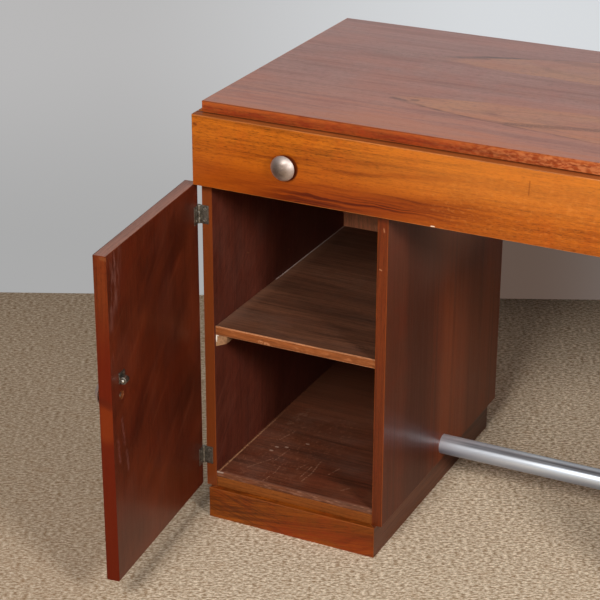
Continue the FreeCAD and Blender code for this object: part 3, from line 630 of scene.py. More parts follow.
def worktop_figure_and_reflection(spot, shade):
    """The two arches, the dark places beside them, a fine uneven speckle all over, and a
    painted pale pink reflection toward the back.
    """
    shade = arch_figure(spot, shade, (284, 409), 300.0, 69.0, 36.0, 1.0)
    shade = arch_figure(spot, shade, (286, 168), 300.0, 58.0, -6.0, -1.0)
    dark = line_mark(spot, (306, 168, 750), (312, 169, 750), 3.0, 6.0)
    for start, end, width in (((272, 166, 750), (296, 160, 750), 1.0),
                              ((480, 123, 750), (620, 156, 750), 8.0),
                              ((286, 420, 750), (330, 430, 750), 3.0)):
        dark = larger(dark, line_mark(spot, start, end, width, 7.0, 0.36))
    green = line_mark(spot, (156, 390, 750), (272, 400, 750), 14.0, 18.0, 0.42)
    speckle = noise_of(spot, (0.09, 0.2, 0.2), 3.0, 0.65)
    cloudy = noise_of(spot, (0.006, 0.016, 0.016), 3.0)
    band = noise_of(spot, (0.004, 0.05, 0.05), 4.0, 0.6)
    # Nearness also sets a painted pale pink reflection, strongest at the back of the top.
    nearness = axes_of(spot)[1]
    warm = ramp_of(nearness, 260.0, 20.0, 0.0, 0.55) * ramp_of(band, 0.62, 0.4, 0.3, 1.0)
    return stained(shade, (dark * 0.7, 52, 40, 36), (green * 0.3, 92, 78, 62),
                   (ramp_of(speckle, 0.46, 0.72, 0.0, 0.5), 118, 70, 64),
                   (ramp_of(cloudy, 0.42, 0.66, 0.0, 0.4), 186, 108, 84),
                   (ramp_of(band, 0.48, 0.66, 0.0, 0.4), 122, 62, 52),
                   (ramp_of(nearness, 260.0, 540.0, 0.0, 0.3), 190, 150, 148),
                   (warm, 196, 110, 62))


top_veneer = board_finish("top_veneer", "X", (148, 98, 90), (182, 128, 116), (176, 114, 104),
                          streaks=0.3, lines=0.15, pores=0.25, flecks=0.1, seed=1.7,
                          roughness=0.36, gloss=0.5, polish=0.5, marks=worktop_figure_and_reflection)
top_edge_wood = board_finish("top_edge_wood", "X", (104, 34, 10), (172, 82, 30),
                             (150, 50, 16), streaks=0.6, lines=0.3, pores=0.3, flecks=0.3,
                             seed=1.9, roughness=0.4, marks=top_edge_figure)
top_arris = board_finish("top_arris", "X", (140, 66, 26), (204, 112, 52), (182, 88, 38),
                         streaks=0.6, lines=0.3, seed=1.8, roughness=0.42, gloss=0.3)
dress("worktop", top_veneer, top_arris, 0.5, 14.0,
      [(top_edge_wood, lambda middle, normal: abs(normal.z) < 0.9),
       (carcase_wood, lambda middle, normal: normal.z < -0.7)])

# ---------------------------------------------------------------------------------------------
# Drawer box: pale sides, back and bottom behind the front, with the sides dovetailed into it
# and the bottom let into grooves.
for name in ("drawer_left_side", "drawer_right_side"):
    dress(name, pale_long_wood, pale_long_wood, 0.4)
for name in ("drawer_back", "drawer_bottom"):
    dress(name, pale_wood, pale_wood, 0.4)


# ---------------------------------------------------------------------------------------------
# Drawer front: one board the whole width of the desk, faced in bright orange brown wood. It
# has a knot at its left end, a dark red streak low down and a mottled figure at its middle.
KNOB_PLACES = {"left": (165.0, 670.0), "right": (1035.0, 670.0)}


def front_figure_and_knob_shadow(spot, shade):
    """Yellower along the top and to the right, redder below, with dark red strands there, and
    a painted shadow under each knob, set a little to its right and below it."""
    axes = axes_of(spot)
    low_down = (ramp_of(axes[2], 712.0, 628.0, 0.0, 0.75)
                * ramp_of(axes[0], 560.0, 300.0, 0.3, 1.0))
    lighter = ramp_of(axes[0], 160.0, 520.0, 0.0, 0.42) * ramp_of(axes[2], 640.0, 690.0)
    lift = (noise_of(spot, (0.012, 0.05, 0.05), 3.0) - 0.5) * 16.0
    bent = vector_of("ADD", spot, flow_of(tree_of(lift), "CombineXYZ", sockets={2: lift}))
    strands = ramp_of(noise_of(bent, (0.0026, 0.26, 0.26), 4.0, 0.62), 0.42, 0.6, 0.25, 1.0)
    climbing = axes_of(bent)[2] - axes[0] * 0.1
    broad = 0.0
    for foot, half, begin, full, last, gone, share in (
            (600.0, 25.0, 40.0, 200.0, 300.0, 620.0, 1.0),
            (622.0, 9.0, 10.0, 120.0, 200.0, 420.0, 0.4),
            (650.0, 6.0, 120.0, 260.0, 330.0, 520.0, 0.35),
            (668.0, 5.0, 60.0, 120.0, 260.0, 400.0, 0.3)):
        run = ramp_of(axes[0], begin, full) * ramp_of(axes[0], last, gone, 1.0, 0.0)
        band = ramp_of(abs(climbing - foot), half * 0.2, half, share, 0.0)
        broad = larger(broad, band * run)
    curl = noise_of(spot, (0.1, 0.12, 0.16), 3.0, 0.6)
    region = line_mark(spot, (440, 0, 655), (640, 0, 668), 30.0, 60.0)
    dark_curl = ramp_of(curl, 0.5, 0.68) * region
    glow = ramp_of(curl, 0.48, 0.3) * region
    # The dark ring round each knob is a painted shadow, offset right and down from the knob's
    # middle.
    knob_x, knob_z = KNOB_PLACES["left"]
    beside = DESK_MIDDLE - knob_x - abs(axes[0] - DESK_MIDDLE) - 0.8
    above = axes[2] - knob_z + 2.0
    reach = math_of("SQRT", beside * beside + above * above)
    painted_knob_shadow = ramp_of(reach, 19.5, 22.5, 0.95, 0.0)
    knot = line_mark(spot, (5, 0, 716), (8, 0, 715), 1.0, 3.0)
    check = line_mark(spot, (562, 0, 690), (563, 0, 712), 0.5, 1.5, 0.3)
    chip = line_mark(spot, (411, 0, 614.5), (416, 0, 614.5), 1.0, 1.2)
    return stained(shade, (low_down, 144, 62, 10), (lighter, 200, 120, 46),
                   (broad * 0.5, 138, 52, 8), (broad * strands, 78, 22, 4),
                   (dark_curl * 0.3, 140, 66, 14), (glow * 0.16, 220, 142, 70),
                   (painted_knob_shadow, 76, 24, 6), (knot * 0.7, 90, 36, 10), (check * 0.5, 110, 50, 14),
                   (chip * 0.9, 240, 222, 196))


def on_top(middle, normal):
    return normal.z > 0.9


def ledge_painted_shade(spot, shade):
    """A painted shadow: a dark line along the foot of the worktop, in the crease where the
    ledge meets it.
    """
    line = line_mark(spot, (0, 17, 731), (1200, 17, 731), 3.0, 3.5)
    return mix_of(line * 0.8, shade, tone(92, 38, 14))


front_wood = board_finish("front_wood", "X", (146, 70, 13), (188, 100, 20), (176, 82, 14),
                          streaks=0.7, lines=0.35, pores=0.5, flecks=0.34, seed=0.31,
                          roughness=0.34, gloss=0.2, polish=0.1, marks=front_figure_and_knob_shadow)
ledge_wood = board_finish("ledge_wood", "X", (130, 64, 22), (176, 96, 42), (160, 80, 30),
                          streaks=0.6, lines=0.3, seed=0.5, roughness=0.45, gloss=0.2,
                          polish=0.0, marks=ledge_painted_shade)
dress("drawer_front", front_wood, belt_arris, 0.5, 60.0, [(ledge_wood, on_top)])


# ---------------------------------------------------------------------------------------------
# Drawer knobs: domed mushrooms turned from nickel-plated brass, brushed and a little worn.
# Each stands on a short neck, and its underside is hollowed behind a rounded rim.
DOME_RADIUS = 25.26
DOME_CENTRE = -5.26


def clear_bench(piece=None):
    """Nothing selected and nothing being edited, or just the one piece taken up again."""
    if bpy.context.object and bpy.context.object.mode != "OBJECT":
        bpy.ops.object.mode_set(mode="OBJECT")
    bpy.ops.object.select_all(action="DESELECT")
    if piece:
        piece.select_set(True)
        bpy.context.view_layer.objects.active = piece


def opened():
    """Opens the piece that was just made for editing, with all of it selected."""
    bpy.ops.object.mode_set(mode="EDIT")
    bpy.ops.mesh.select_all(action="SELECT")
    return bpy.context.object


def draw_out(step):
    """Draws what is selected out along a step."""
    bpy.ops.mesh.extrude_region_move(TRANSFORM_OT_translate={"value": step})


def faced_out(piece):
    """Turns all faces outward and ends the editing."""
    bpy.ops.mesh.select_all(action="SELECT")
    bpy.ops.mesh.normals_make_consistent(inside=False)
    bpy.ops.object.mode_set(mode="OBJECT")
    return piece


def turned(name, foot, way, steps, sides=64, pointed=False):
    """A piece turned on the lathe: a disc at the foot drawn out along a way, through steps of
    (distance from the foot, radius) in millimetres. A pointed one closes at its last step."""
    clear_bench()
    way = Vector(way)
    reach, radius = steps[0]
    centre = Vector(foot) + way * reach * MM
    bpy.ops.mesh.primitive_circle_add(vertices=sides, radius=radius * MM, fill_type="NGON",
                                      location=centre,
                                      rotation=way.to_track_quat("Z", "Y").to_euler())
    piece = opened()
    piece.name = name
    for distance, wanted_radius in steps[1:]:
        step = way * (distance - reach) * MM
        draw_out(step)
        centre = centre + step
        share = wanted_radius / radius
        bpy.ops.transform.resize(value=(share, share, share), center_override=centre)
        reach, radius = distance, wanted_radius
    if pointed:
        bpy.ops.mesh.merge(type="CENTER")
    return faced_out(piece)


def arc_steps(centre, radius, start, end, count):
    """Steps along an arc of a ball, between two angles from the way out, in degrees."""
    steps = []
    for number in range(count + 1):
        angle = math.radians(start + (end - start) * number / count)
        steps.append((centre + radius * math.cos(angle), radius * math.sin(angle)))
    return steps


def finished(piece, material, crease=35.0):
    """Takes the piece off the bench: its place goes into its mesh, and it gets its finish."""
    clear_bench(piece)
    bpy.ops.object.transform_apply(location=True, rotation=True, scale=True)
    bpy.ops.object.shade_smooth_by_angle(angle=math.radians(crease))
    piece.data.materials.clear()
    piece.data.materials.append(material)
    piece.select_set(False)
    return piece


def copied(piece, name, matrix):
    """A copy with its own mesh, moved there. A mirrored copy is turned right side out."""
    twin = piece.copy()
    twin.data = piece.data.copy()
    twin.name = name
    twin.data.name = name
    bpy.context.scene.collection.objects.link(twin)
    twin.data.transform(matrix)
    if matrix.determinant() < 0:
        twin.data.flip_normals()
    return twin


def metal(name, bright, dull, roughness, streak, patch_scale, relief=0.08):
    """A worn metal with fine brushed lines, duller patches and an uneven polish."""
    material, surface, spot = new_finish(name)
    bright, dull = tone(*bright), tone(*dull)
    lines = noise_of(spot, streak, 4.0, 0.6)
    patches = ramp_of(noise_of(spot, (patch_scale,) * 3, 4.0, 0.6), 0.42, 0.68)
    shade = mix_of(ramp_of(lines, 0.35, 0.75, 0.0, 0.35), mix_of(patches, bright, dull), dull)
    fill(surface, {"Base Color": shade, "Normal": bump(lines, relief, 0.0002),
                   "Roughness": clamped(patches * 0.14 + lines * 0.12 + roughness),
                   "Metallic": 1.0})
    return material


def recoloured(material, change):
    """Changes the colour that a finish has, by a function of its nodes and that colour."""
    colour = material.node_tree.nodes["Principled BSDF"].inputs["Base Color"]
    link(change(material.node_tree, Flow(colour.links[0].from_socket)), colour)


def knob_rim_painted_highlight(tree, shade):
    """A painted highlight that brightens the knob toward its rim: from 7 mm off its axis,
    fully at 19 mm.
    """
    reach = flow_of(tree, "Attribute", "Fac", attribute_name="reach")
    return stained(shade, (ramp_of(reach, 7.0, 19.0, 0.0, 0.9), 204, 190, 184))


nickel = metal("nickel", (154, 138, 128), (132, 116, 106), 0.46, (420.0, 900.0, 240.0), 110.0)
recoloured(nickel, knob_rim_painted_highlight)
knob_steps = [(0.0, 8.6), (0.5, 8.8), (1.1, 8.2), (2.0, 7.4), (5.0, 6.9), (7.4, 7.2),
              (8.6, 8.4), (9.05, 10.5), (8.85, 14.0), (8.5, 17.2), (8.55, 19.2), (8.85, 20.1),
              (9.3, 20.45), (9.8, 20.3)]
knob_steps += arc_steps(DOME_CENTRE, DOME_RADIUS, 52.4, 2.5, 16)
knob_steps.append((20.0, 0.3))
knob_pattern = turned("knob_pattern", (0.0, 0.0, 0.0), (0.0, -1.0, 0.0), knob_steps, 80, True)
finished(knob_pattern, nickel, 40.0)
knob_reach = knob_pattern.data.attributes.new("reach", "FLOAT", "POINT").data
for vertex in knob_pattern.data.vertices:
    knob_reach[vertex.index].value = math.hypot(vertex.co.x, vertex.co.z) / MM
for side, (x, z) in KNOB_PLACES.items():
    knob = copied(knob_pattern, "drawer_knob_" + side, Matrix.Translation(placed(x, 0, z)))
    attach(knob, "drawer")
    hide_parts("drawer_knobs")

# ---------------------------------------------------------------------------------------------
# Knob screws: a slotted machine screw behind each knob, with its round head sunk in a well on
# the inside of the drawer front or the door.
WELL_SEAT = 18.0
DOOR_KNOB = (302.0, 371.0)
MIRROR = (Matrix.Translation((2 * (DESK_MIDDLE + DESK_CORNER.x) * MM, 0.0, 0.0))
          @ Matrix.Scale(-1.0, 4, (1.0, 0.0, 0.0)))
OPEN_DOOR = (Matrix.Translation(placed(*HINGE_LINE)) @ Matrix.Rotation(-DOOR_SWING, 4, "Z")
             @ Matrix.Translation(-placed(*HINGE_LINE)))


def block(name, near, far):
    """A block between two corners on the desk, in millimetres."""
    clear_bench()
    near, far = placed(*near), placed(*far)
    bpy.ops.mesh.primitive_cube_add(size=1.0, location=(near + far) / 2)
    piece = opened()
    piece.name = name
    bpy.ops.transform.resize(value=far - near, center_override=(near + far) / 2)
    bpy.ops.object.mode_set(mode="OBJECT")
    return piece


def joined(piece, other, operation="UNION"):
    """Welds another piece on, or cuts it away, and takes it off the bench."""
    clear_bench(piece)
    work = piece.modifiers.new("work", "BOOLEAN")
    work.operation = operation
    work.solver = "EXACT"
    work.object = other
    bpy.ops.object.modifier_apply(modifier="work")
    bpy.data.objects.remove(other)
    return piece


def cut(piece, other):
    return joined(piece, other, "DIFFERENCE")


bright_steel = metal("bright_steel", (196, 192, 184), (140, 134, 126), 0.3,
                     (700.0, 500.0, 700.0), 200.0, 0.1)


def slotted(screw, near, far):
    """Cuts the slot for the driver, a block between two corners round the screw's own axis."""
    slot_cutter = block("slot_cutter", near, far)
    slot_cutter.data.transform(Matrix.Translation(-placed(0, 0, 0)))
    return cut(screw, slot_cutter)


bolt_pattern = turned("bolt_pattern", (0.0, 0.0, 0.0), (0.0, 1.0, 0.0),
                      [(-4.0, 1.9), (0.0, 1.9), (0.02, 3.4), (0.15, 3.55), (1.3, 3.6),
                       (1.75, 3.4), (2.1, 2.9), (2.3, 2.1), (2.38, 1.0), (2.4, 0.3)], 40, True)
bolt_pattern = finished(slotted(bolt_pattern, (-0.45, 1.35, -6.0), (0.45, 4.0, 6.0)),
                        bright_steel)
for (side, (x, z)), driven_round in zip(KNOB_PLACES.items(), (0.5, 1.5)):
    bolt = copied(bolt_pattern, "drawer_knob_screw_" + side,
                  Matrix.Translation(placed(x, WELL_SEAT, z))
                  @ Matrix.Rotation(driven_round, 4, "Y"))
    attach(bolt, "drawer")
    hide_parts("drawer_knob_bolts")
for side, move in (("left", OPEN_DOOR), ("right", MIRROR)):
    bolt = copied(bolt_pattern, side + "_door_knob_screw",
                  move @ Matrix.Translation(placed(DOOR_KNOB[0], WELL_SEAT, DOOR_KNOB[1]))
                  @ Matrix.Rotation(0.3, 4, "Y"))
    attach(bolt, side + "_door")
    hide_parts(side + "_door_screws")
bpy.data.objects.remove(bolt_pattern)


# ---------------------------------------------------------------------------------------------
# Doors: veneered boards that lie over the pedestals' fronts. Outside they match the drawer
# front with the grain upright, inside they are a dark red brown, hazed and smeared by hands,
# and the edges are lipped in an orange red wood.
def door_smears_and_shade(spot, shade):
    """Hazy scuffs near the free edge, slanting smears across the inside of the door, and
    painted shade toward the hinge side.
    """
    shear = turned_place(spot, (0.0, -0.7, 0.0))
    smear = noise_of(shear, (0.005, 0.005, 0.015), 4.0, 0.6)
    dark = noise_of(shear, (0.005, 0.005, 0.009), 3.0, 0.5)
    # Painted shade: a broad dark band low and in the middle, toward the hinge side.
    painted_hinge_shade = line_mark(spot, (130, 22, 430), (60, 22, 150), 40.0, 120.0)
    region = line_mark(spot, (312, 22, 604), (322, 22, 536), 14.0, 26.0)
    region = larger(region, line_mark(spot, (328, 22, 540), (328, 22, 430), 4.0, 12.0) * 0.45)
    hair = noise_of(spot, (0.1, 0.06, 0.024), 4.0, 0.6)
    scuff = region * ramp_of(hair, 0.42, 0.62)
    bottom = line_mark(spot, (336, 22, 60), (180, 22, 58), 20.0, 130.0)
    rubs = [((304, 22, 330), (298, 22, 284)), ((320, 22, 300), (316, 22, 262)),
            ((292, 22, 268), (288, 22, 236))]
    worn = 0.0
    for start, end in rubs:
        worn = larger(worn, line_mark(spot, start, end, 1.0, 5.0, 0.42))
    stroke = noise_of(shear, (0.006, 0.006, 0.2), 3.0, 0.6)
    return stained(shade, (ramp_of(smear, 0.44, 0.68, 0.0, 0.5), 116, 46, 20),
                   (ramp_of(dark, 0.48, 0.7, 0.0, 0.65), 48, 12, 5), (painted_hinge_shade * 0.4, 52, 14, 6),
                   (scuff * 0.5, 148, 102, 92), (bottom * 0.25, 112, 60, 36),
                   (worn * 0.28, 150, 100, 96),
                   (ramp_of(stroke, 0.56, 0.74, 0.0, 0.16), 150, 84, 56))


def door_edge_figure(spot, shade):
    """The knot in the free edge, and the edge going darker and redder down it."""
    axes = axes_of(spot)
    redder = ramp_of(axes[2], 560.0, 420.0, 0.0, 0.85)
    glow = line_mark(spot, (336, 11, 352), (336, 11, 318), 8.0, 22.0)
    knot = line_mark(spot, (336, 3, 372), (336, 18, 366), 4.0, 9.0)
    rub = line_mark(spot, (336, 14, 607), (336, 21, 606), 2.0, 4.0)
    return stained(shade, (redder, 88, 20, 4), (glow * 0.5, 124, 50, 14),
                   (knot * 0.6, 74, 22, 8), (rub * 0.12, 176, 122, 76))


def swung_back(point):
    """Where a place on the open left door lies when that door is closed."""
    turn = Matrix.Rotation(DOOR_SWING, 3, "Z")
    return turn @ (point - HINGE_LINE) + HINGE_LINE


def spot_when_shut(middle):
    """A face's place with its door closed, counted from its own end of the desk."""
    if middle.x > DESK_MIDDLE:
        return Vector((2 * DESK_MIDDLE - middle.x, middle.y, middle.z))
    return swung_back(middle)


def in_well(middle, normal):
    spot = spot_when_shut(middle)
    reach = math.hypot(spot.x - DOOR_KNOB[0], spot.z - DOOR_KNOB[1])
    return reach < 7.6 and 17.0 < spot.y < 21.9


def on_inside(middle, normal):
    return spot_when_shut(middle).y > 21.5


def on_outside(middle, normal):
    return spot_when_shut(middle).y < 0.85


door_edges, door_tops, door_faces, door_insides = {}, {}, {}, {}
for side, swung, seeds, edge_look in (
        ("left", True, (4.2, 4.4, 4.3, 4.1),
         {"roughness": 0.4, "gloss": 0.12, "polish": 0.0, "marks": door_edge_figure}),
        ("right", False, (4.8, 4.9, 4.6, 4.7), {"roughness": 0.36})):
    door_edges[side] = board_finish(
        side + "_door_lipping", "Z", (80, 26, 8), (112, 48, 18), (98, 34, 12), streaks=0.6,
        lines=0.3, seed=seeds[0], swung=swung, **edge_look)
    door_tops[side] = board_finish(
        side + "_door_top", "X", (116, 68, 52), (156, 100, 80), (140, 82, 66), streaks=0.5,
        lines=0.3, seed=seeds[1], roughness=0.4, gloss=0.5, polish=0.4, swung=swung)
    door_faces[side] = board_finish(
        side + "_door_veneer", "Z", (130, 56, 14), (182, 94, 28), (162, 72, 18), streaks=0.8,
        lines=0.3, pores=0.4, rings=0.3, seed=seeds[2], roughness=0.34, polish=0.2,
        swung=swung)
    door_insides[side] = board_finish(
        side + "_door_inside", "Z", (72, 24, 10), (98, 38, 18), (96, 30, 12), streaks=0.35,
        lines=0.2, haze=0.04, roughness=0.4, gloss=0.25, polish=0.12, seed=seeds[3],
        swung=swung, marks=door_smears_and_shade)
well_wood = board_finish("well_wood", "Y", (110, 58, 30), (156, 92, 54), (184, 108, 58),
                         streaks=0.6, seed=4.5, roughness=0.7, gloss=0.15, polish=0.0)
for side in ("left", "right"):
    dress(side + "_door_panel", door_edges[side], door_edges[side], 0.9, 60.0,
          [(door_tops[side], on_top), (door_faces[side], on_outside),
           (door_insides[side], on_inside), (well_wood, in_well)])

# ---------------------------------------------------------------------------------------------
# Door knobs: the same turned knob as the drawer's, one near each door's free edge, held by a
# screw from inside.
for side, move in (("left", OPEN_DOOR), ("right", MIRROR)):
    knob = copied(knob_pattern, side + "_door_knob",
                  move @ Matrix.Translation(placed(DOOR_KNOB[0], 0, DOOR_KNOB[1])))
    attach(knob, side + "_door")
    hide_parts(side + "_door_fittings")
bpy.data.objects.remove(knob_pattern)

# ---------------------------------------------------------------------------------------------
# Butt hinges: two to a door, pressed from steel strip, with leaves let in flush and the barrel
# standing clear of the pedestal. Frame leaves have the outer knuckles, door leaves the middle.
HINGE_LEVELS = (114.0, 555.0)
LEAF_HALF = 16.0
LEAF_ROOT, LEAF_END = 0.7, 15.0
KNUCKLE_RADIUS, KNUCKLE_WALL, KNUCKLE = 3.0, 1.66, 10.5333
SCREW_REACH, SCREW_SPREAD = 8.7, 9.28
steel = metal("steel", (150, 146, 138), (96, 90, 82), 0.36, (700.0, 500.0, 700.0), 160.0,
              0.12)


def pick(piece, kind, wanted):
    """Selects the points, edges or faces of the piece on the bench that are wanted."""
    bpy.ops.mesh.select_mode(type=kind)
    bpy.ops.mesh.select_all(action="DESELECT")
    shape = bmesh.from_edit_mesh(piece.data)
    for item in {"VERT": shape.verts, "EDGE": shape.edges, "FACE": shape.faces}[kind]:
        if wanted(item):
            item.select_set(True)
    bmesh.update_edit_mesh(piece.data)


def blunted(piece, width, limit=30.0):
    """Takes the sharpness off the piece's edges with a small bevel."""
    clear_bench(piece)
    bevel = piece.modifiers.new("blunt", "BEVEL")
    bevel.width = width * MM
    bevel.segments = 2
    bevel.limit_method = "ANGLE"
    bevel.angle_limit = math.radians(limit)
    bpy.ops.object.modifier_apply(modifier="blunt")
    return piece


def pipe(foot, rotation, radius, wall, step, sides):
    """A pipe: a ring, set in from a disc by its wall's thickness, drawn out along a step."""
    clear_bench()
    bpy.ops.mesh.primitive_circle_add(vertices=sides, radius=radius * MM, fill_type="NGON",
                                      location=foot, rotation=rotation)
    piece = opened()
    bpy.ops.mesh.inset(thickness=wall * MM)
    bpy.ops.mesh.delete(type="ONLY_FACE")
    bpy.ops.mesh.select_all(action="SELECT")
    draw_out([length * MM for length in step])
    return faced_out(piece)


def knuckle(bottom, top):
    """A rolled knuckle: a pipe round the pin, with its ends eased."""
    return blunted(pipe(placed(HINGE_LINE.x, HINGE_LINE.y, bottom), (0.0, 0.0, 0.0),
                        KNUCKLE_RADIUS, KNUCKLE_WALL, (0.0, 0.0, top - bottom), 48), 0.25,
                   60.0)


def countersink(x, y, z, way):
    """The cutter for a screw hole: a cone that narrows into a plate from its outer face."""
    return turned("countersink", placed(x, y, z), way,
                  [(-0.5, 3.08), (0.0, 3.08), (1.4, 1.7), (2.4, 1.7)], 40)


def rounded(plate, width, segments, wanted):
    """Rounds the wanted edges of the plate on the bench, such as its corners."""
    bpy.ops.object.mode_set(mode="EDIT")
    pick(plate, "EDGE", wanted)
    bpy.ops.mesh.bevel(offset=width * MM, segments=segments, affect="EDGES")
    bpy.ops.object.mode_set(mode="OBJECT")


def hinge_leaf(name, near, far, fingers, way):
    """One leaf about the hinge's middle: a plate with fingers that roll into its knuckles."""
    plate = block(name, (LEAF_ROOT, near, -LEAF_HALF), (LEAF_END, far, LEAF_HALF))
    bpy.ops.object.mode_set(mode="EDIT")
    for bottom, top in fingers:
        for level in (bottom, top):
            bpy.ops.mesh.select_all(action="SELECT")
            bpy.ops.mesh.bisect(plane_co=placed(0, 0, level), plane_no=(0.0, 0.0, 1.0))
    middle_x = placed((LEAF_ROOT + LEAF_END) / 2, 0, 0).x
    root = placed(LEAF_ROOT, 0, 0).x - middle_x

    def at_finger(face):
        level = face.calc_center_median().z / MM
        inside = any(bottom < level < top for bottom, top in fingers)
        return inside and face.normal.x < -0.9 and abs(face.calc_center_median().x - root) < MM

    pick(plate, "FACE", at_finger)
    draw_out(((HINGE_LINE.x - LEAF_ROOT) * MM, 0.0, 0.0))
    end = placed(LEAF_END, 0, 0).x - middle_x
    rounded(plate, 0.9, 3, lambda edge: all(
        abs(point.co.x - end) < 0.1 * MM and abs(abs(point.co.z) - LEAF_HALF * MM) < 0.1 * MM
        for point in edge.verts))
    blunted(plate, 0.14, 60.0)
    for bottom, top in fingers:
        joined(plate, knuckle(bottom, top))
    pin_hole = turned("pin_hole", placed(HINGE_LINE.x, HINGE_LINE.y, -18.0), (0.0, 0.0, 1.0),
                      [(0.0, 1.34), (36.0, 1.34)], 48)
    cut(plate, pin_hole)
    face = near if way > 0 else far
    for spread in (-SCREW_SPREAD, SCREW_SPREAD):
        cut(plate, countersink(SCREW_REACH, face, spread, (0.0, way, 0.0)))
    return finished(plate, steel, 30.0)


frame_leaf = hinge_leaf("frame_leaf", 23.1, 24.6,
                        [(-LEAF_HALF, KNUCKLE - LEAF_HALF),
                         (LEAF_HALF - KNUCKLE, LEAF_HALF)], 1)
door_leaf = hinge_leaf("door_leaf", 21.4, 22.9, [(-KNUCKLE / 2, KNUCKLE / 2)], -1)
pin = turned("pin", placed(HINGE_LINE.x, HINGE_LINE.y, 0.0), (0.0, 0.0, 1.0),
             [(-16.8, 0.4), (-16.75, 0.9), (-16.5, 1.2), (-16.2, 1.25), (16.2, 1.25),
              (16.5, 1.2), (16.75, 0.9), (16.8, 0.4)], 32)
pin = finished(pin, bright_steel)
for number, level in enumerate(HINGE_LEVELS):
    height = ("low", "high")[number]
    lift = Matrix.Translation((0.0, 0.0, level * MM))
    for side, move, swing in (("left", Matrix.Identity(4), OPEN_DOOR),
                              ("right", MIRROR, MIRROR)):
        still = copied(frame_leaf, f"{side}_frame_leaf_{height}", move @ lift)
        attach(still, "desk")
        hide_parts("hinge_frame_leaves")
        moving = copied(door_leaf, f"{side}_door_leaf_{height}", swing @ lift)
        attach(moving, side + "_door")
        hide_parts(side + "_door_fittings")
        rod = copied(pin, f"{side}_hinge_pin_{height}", move @ lift)
        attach(rod, "desk")
        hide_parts("hinge_pins")
for pattern in (frame_leaf, door_leaf, pin):
    bpy.data.objects.remove(pattern)

# ---------------------------------------------------------------------------------------------
# Wood screws: slotted, countersunk and a little raised, for the hinges, the catches and the
# strikes. Their slots stand at all angles, as they were driven.
CATCH_AXIS = (28.5, 398.5)
CATCH_FACE = 23.5
CATCH_SCREWS = ((294.1, 396.7), (294.1, 405.8))
STRIKE_FACE = 313.0
STRIKE_SCREW_LEVELS = (388.3, 408.7)
# The heads in a shut hinge stop this far from the middle between its two leaves.
HEAD_CLEARANCE = 0.34
screw_pattern = turned("screw_pattern", (0.0, 0.0, 0.0), (0.0, -1.0, 0.0),
                       [(-6.0, 1.0), (-5.0, 1.4), (-1.3, 1.45), (-0.05, 2.85), (0.05, 2.92),
                        (0.14, 2.7), (0.24, 2.0), (0.29, 1.0), (0.3, 0.3)], 36, True)
screw_pattern = finished(slotted(screw_pattern, (-0.36, -2.0, -5.0), (0.36, 0.62, 5.0)),
                         bright_steel)
driven = 0


def drive_screw(name, place, facing, body, node, move):
    """A copy of the screw with its head at a place on the desk, facing a way about Z."""
    global driven
    driven += 1
    screw = copied(screw_pattern, name, move @ Matrix.Translation(placed(*place))
                   @ Matrix.Rotation(math.radians(facing), 4, "Z")
                   @ Matrix.Rotation(driven * 0.83, 4, "Y"))
    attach(screw, body)
    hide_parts(node)


for side, move, swing in (("left", Matrix.Identity(4), OPEN_DOOR), ("right", MIRROR, MIRROR)):
    for number, level in enumerate(HINGE_LEVELS):
        for end, spread in (("a", -SCREW_SPREAD), ("b", SCREW_SPREAD)):
            drive_screw(f"{side}_frame_leaf_screw_{number}{end}",
                        (SCREW_REACH, HINGE_LINE.y + HEAD_CLEARANCE, level + spread), 0.0,
                        "desk", "frame_screws", move)
            drive_screw(f"{side}_door_leaf_screw_{number}{end}",
                        (SCREW_REACH, HINGE_LINE.y - HEAD_CLEARANCE, level + spread), 180.0,
                        side + "_door", side + "_door_screws", swing)
    for number, (x, z) in enumerate(CATCH_SCREWS):
        drive_screw(f"{side}_catch_screw_{number}", (x, CATCH_FACE, z), 180.0,
                    side + "_door", side + "_door_screws", swing)
    for number, z in enumerate(STRIKE_SCREW_LEVELS):
        drive_screw(f"{side}_strike_screw_{number}", (STRIKE_FACE, CATCH_AXIS[0], z), -90.0,
                    "desk", "frame_screws", move)
bpy.data.objects.remove(screw_pattern)

# ---------------------------------------------------------------------------------------------
# Ball catches: a steel plate screwed inside each door near its free edge, with a short barrel
# that holds a sprung ball. The ball springs into the hole of a strike in the pedestal's side.
plate = block("catch_case", (290.1, 22.0, 392.5), (310.1, CATCH_FACE, 410.0))
rounded(plate, 2.5, 6, lambda edge: all(point.co.z > 8.0 * MM for point in edge.verts)
        and abs(edge.verts[0].co.y - edge.verts[1].co.y) > MM)
blunted(plate, 0.16, 60.0)
barrel = turned("barrel", placed(298.1, *CATCH_AXIS), (1.0, 0.0, 0.0),
                [(0.0, 5.3), (0.25, 5.8), (0.7, 6.0), (11.2, 6.0), (11.7, 5.85), (12.0, 5.4)],
                56)
saddle = blunted(block("saddle", (298.2, 22.6, 394.6), (309.6, 28.5, 402.4)), 0.5, 60.0)
joined(plate, saddle)
joined(plate, barrel)
bore = turned("bore", placed(300.6, *CATCH_AXIS), (1.0, 0.0, 0.0),
              [(0.0, 3.3), (8.6, 3.3), (8.7, 3.9), (9.1, 4.0), (9.6, 4.45), (10.5, 4.6)], 56)
cut(plate, bore)
for x, z in CATCH_SCREWS:
    cut(plate, countersink(x, CATCH_FACE, z, (0.0, -1.0, 0.0)))
catch_pattern = finished(plate, steel, 30.0)
ball_steps = [(0.0, 1.9), (0.2, 2.1), (3.9, 2.2)]
ball_steps += arc_steps(6.5, 3.2, 138.0, 4.0, 14) + [(9.7, 0.2)]
ball_pattern = finished(turned("ball", placed(303.0, *CATCH_AXIS), (1.0, 0.0, 0.0), ball_steps,
                               40, True), bright_steel)
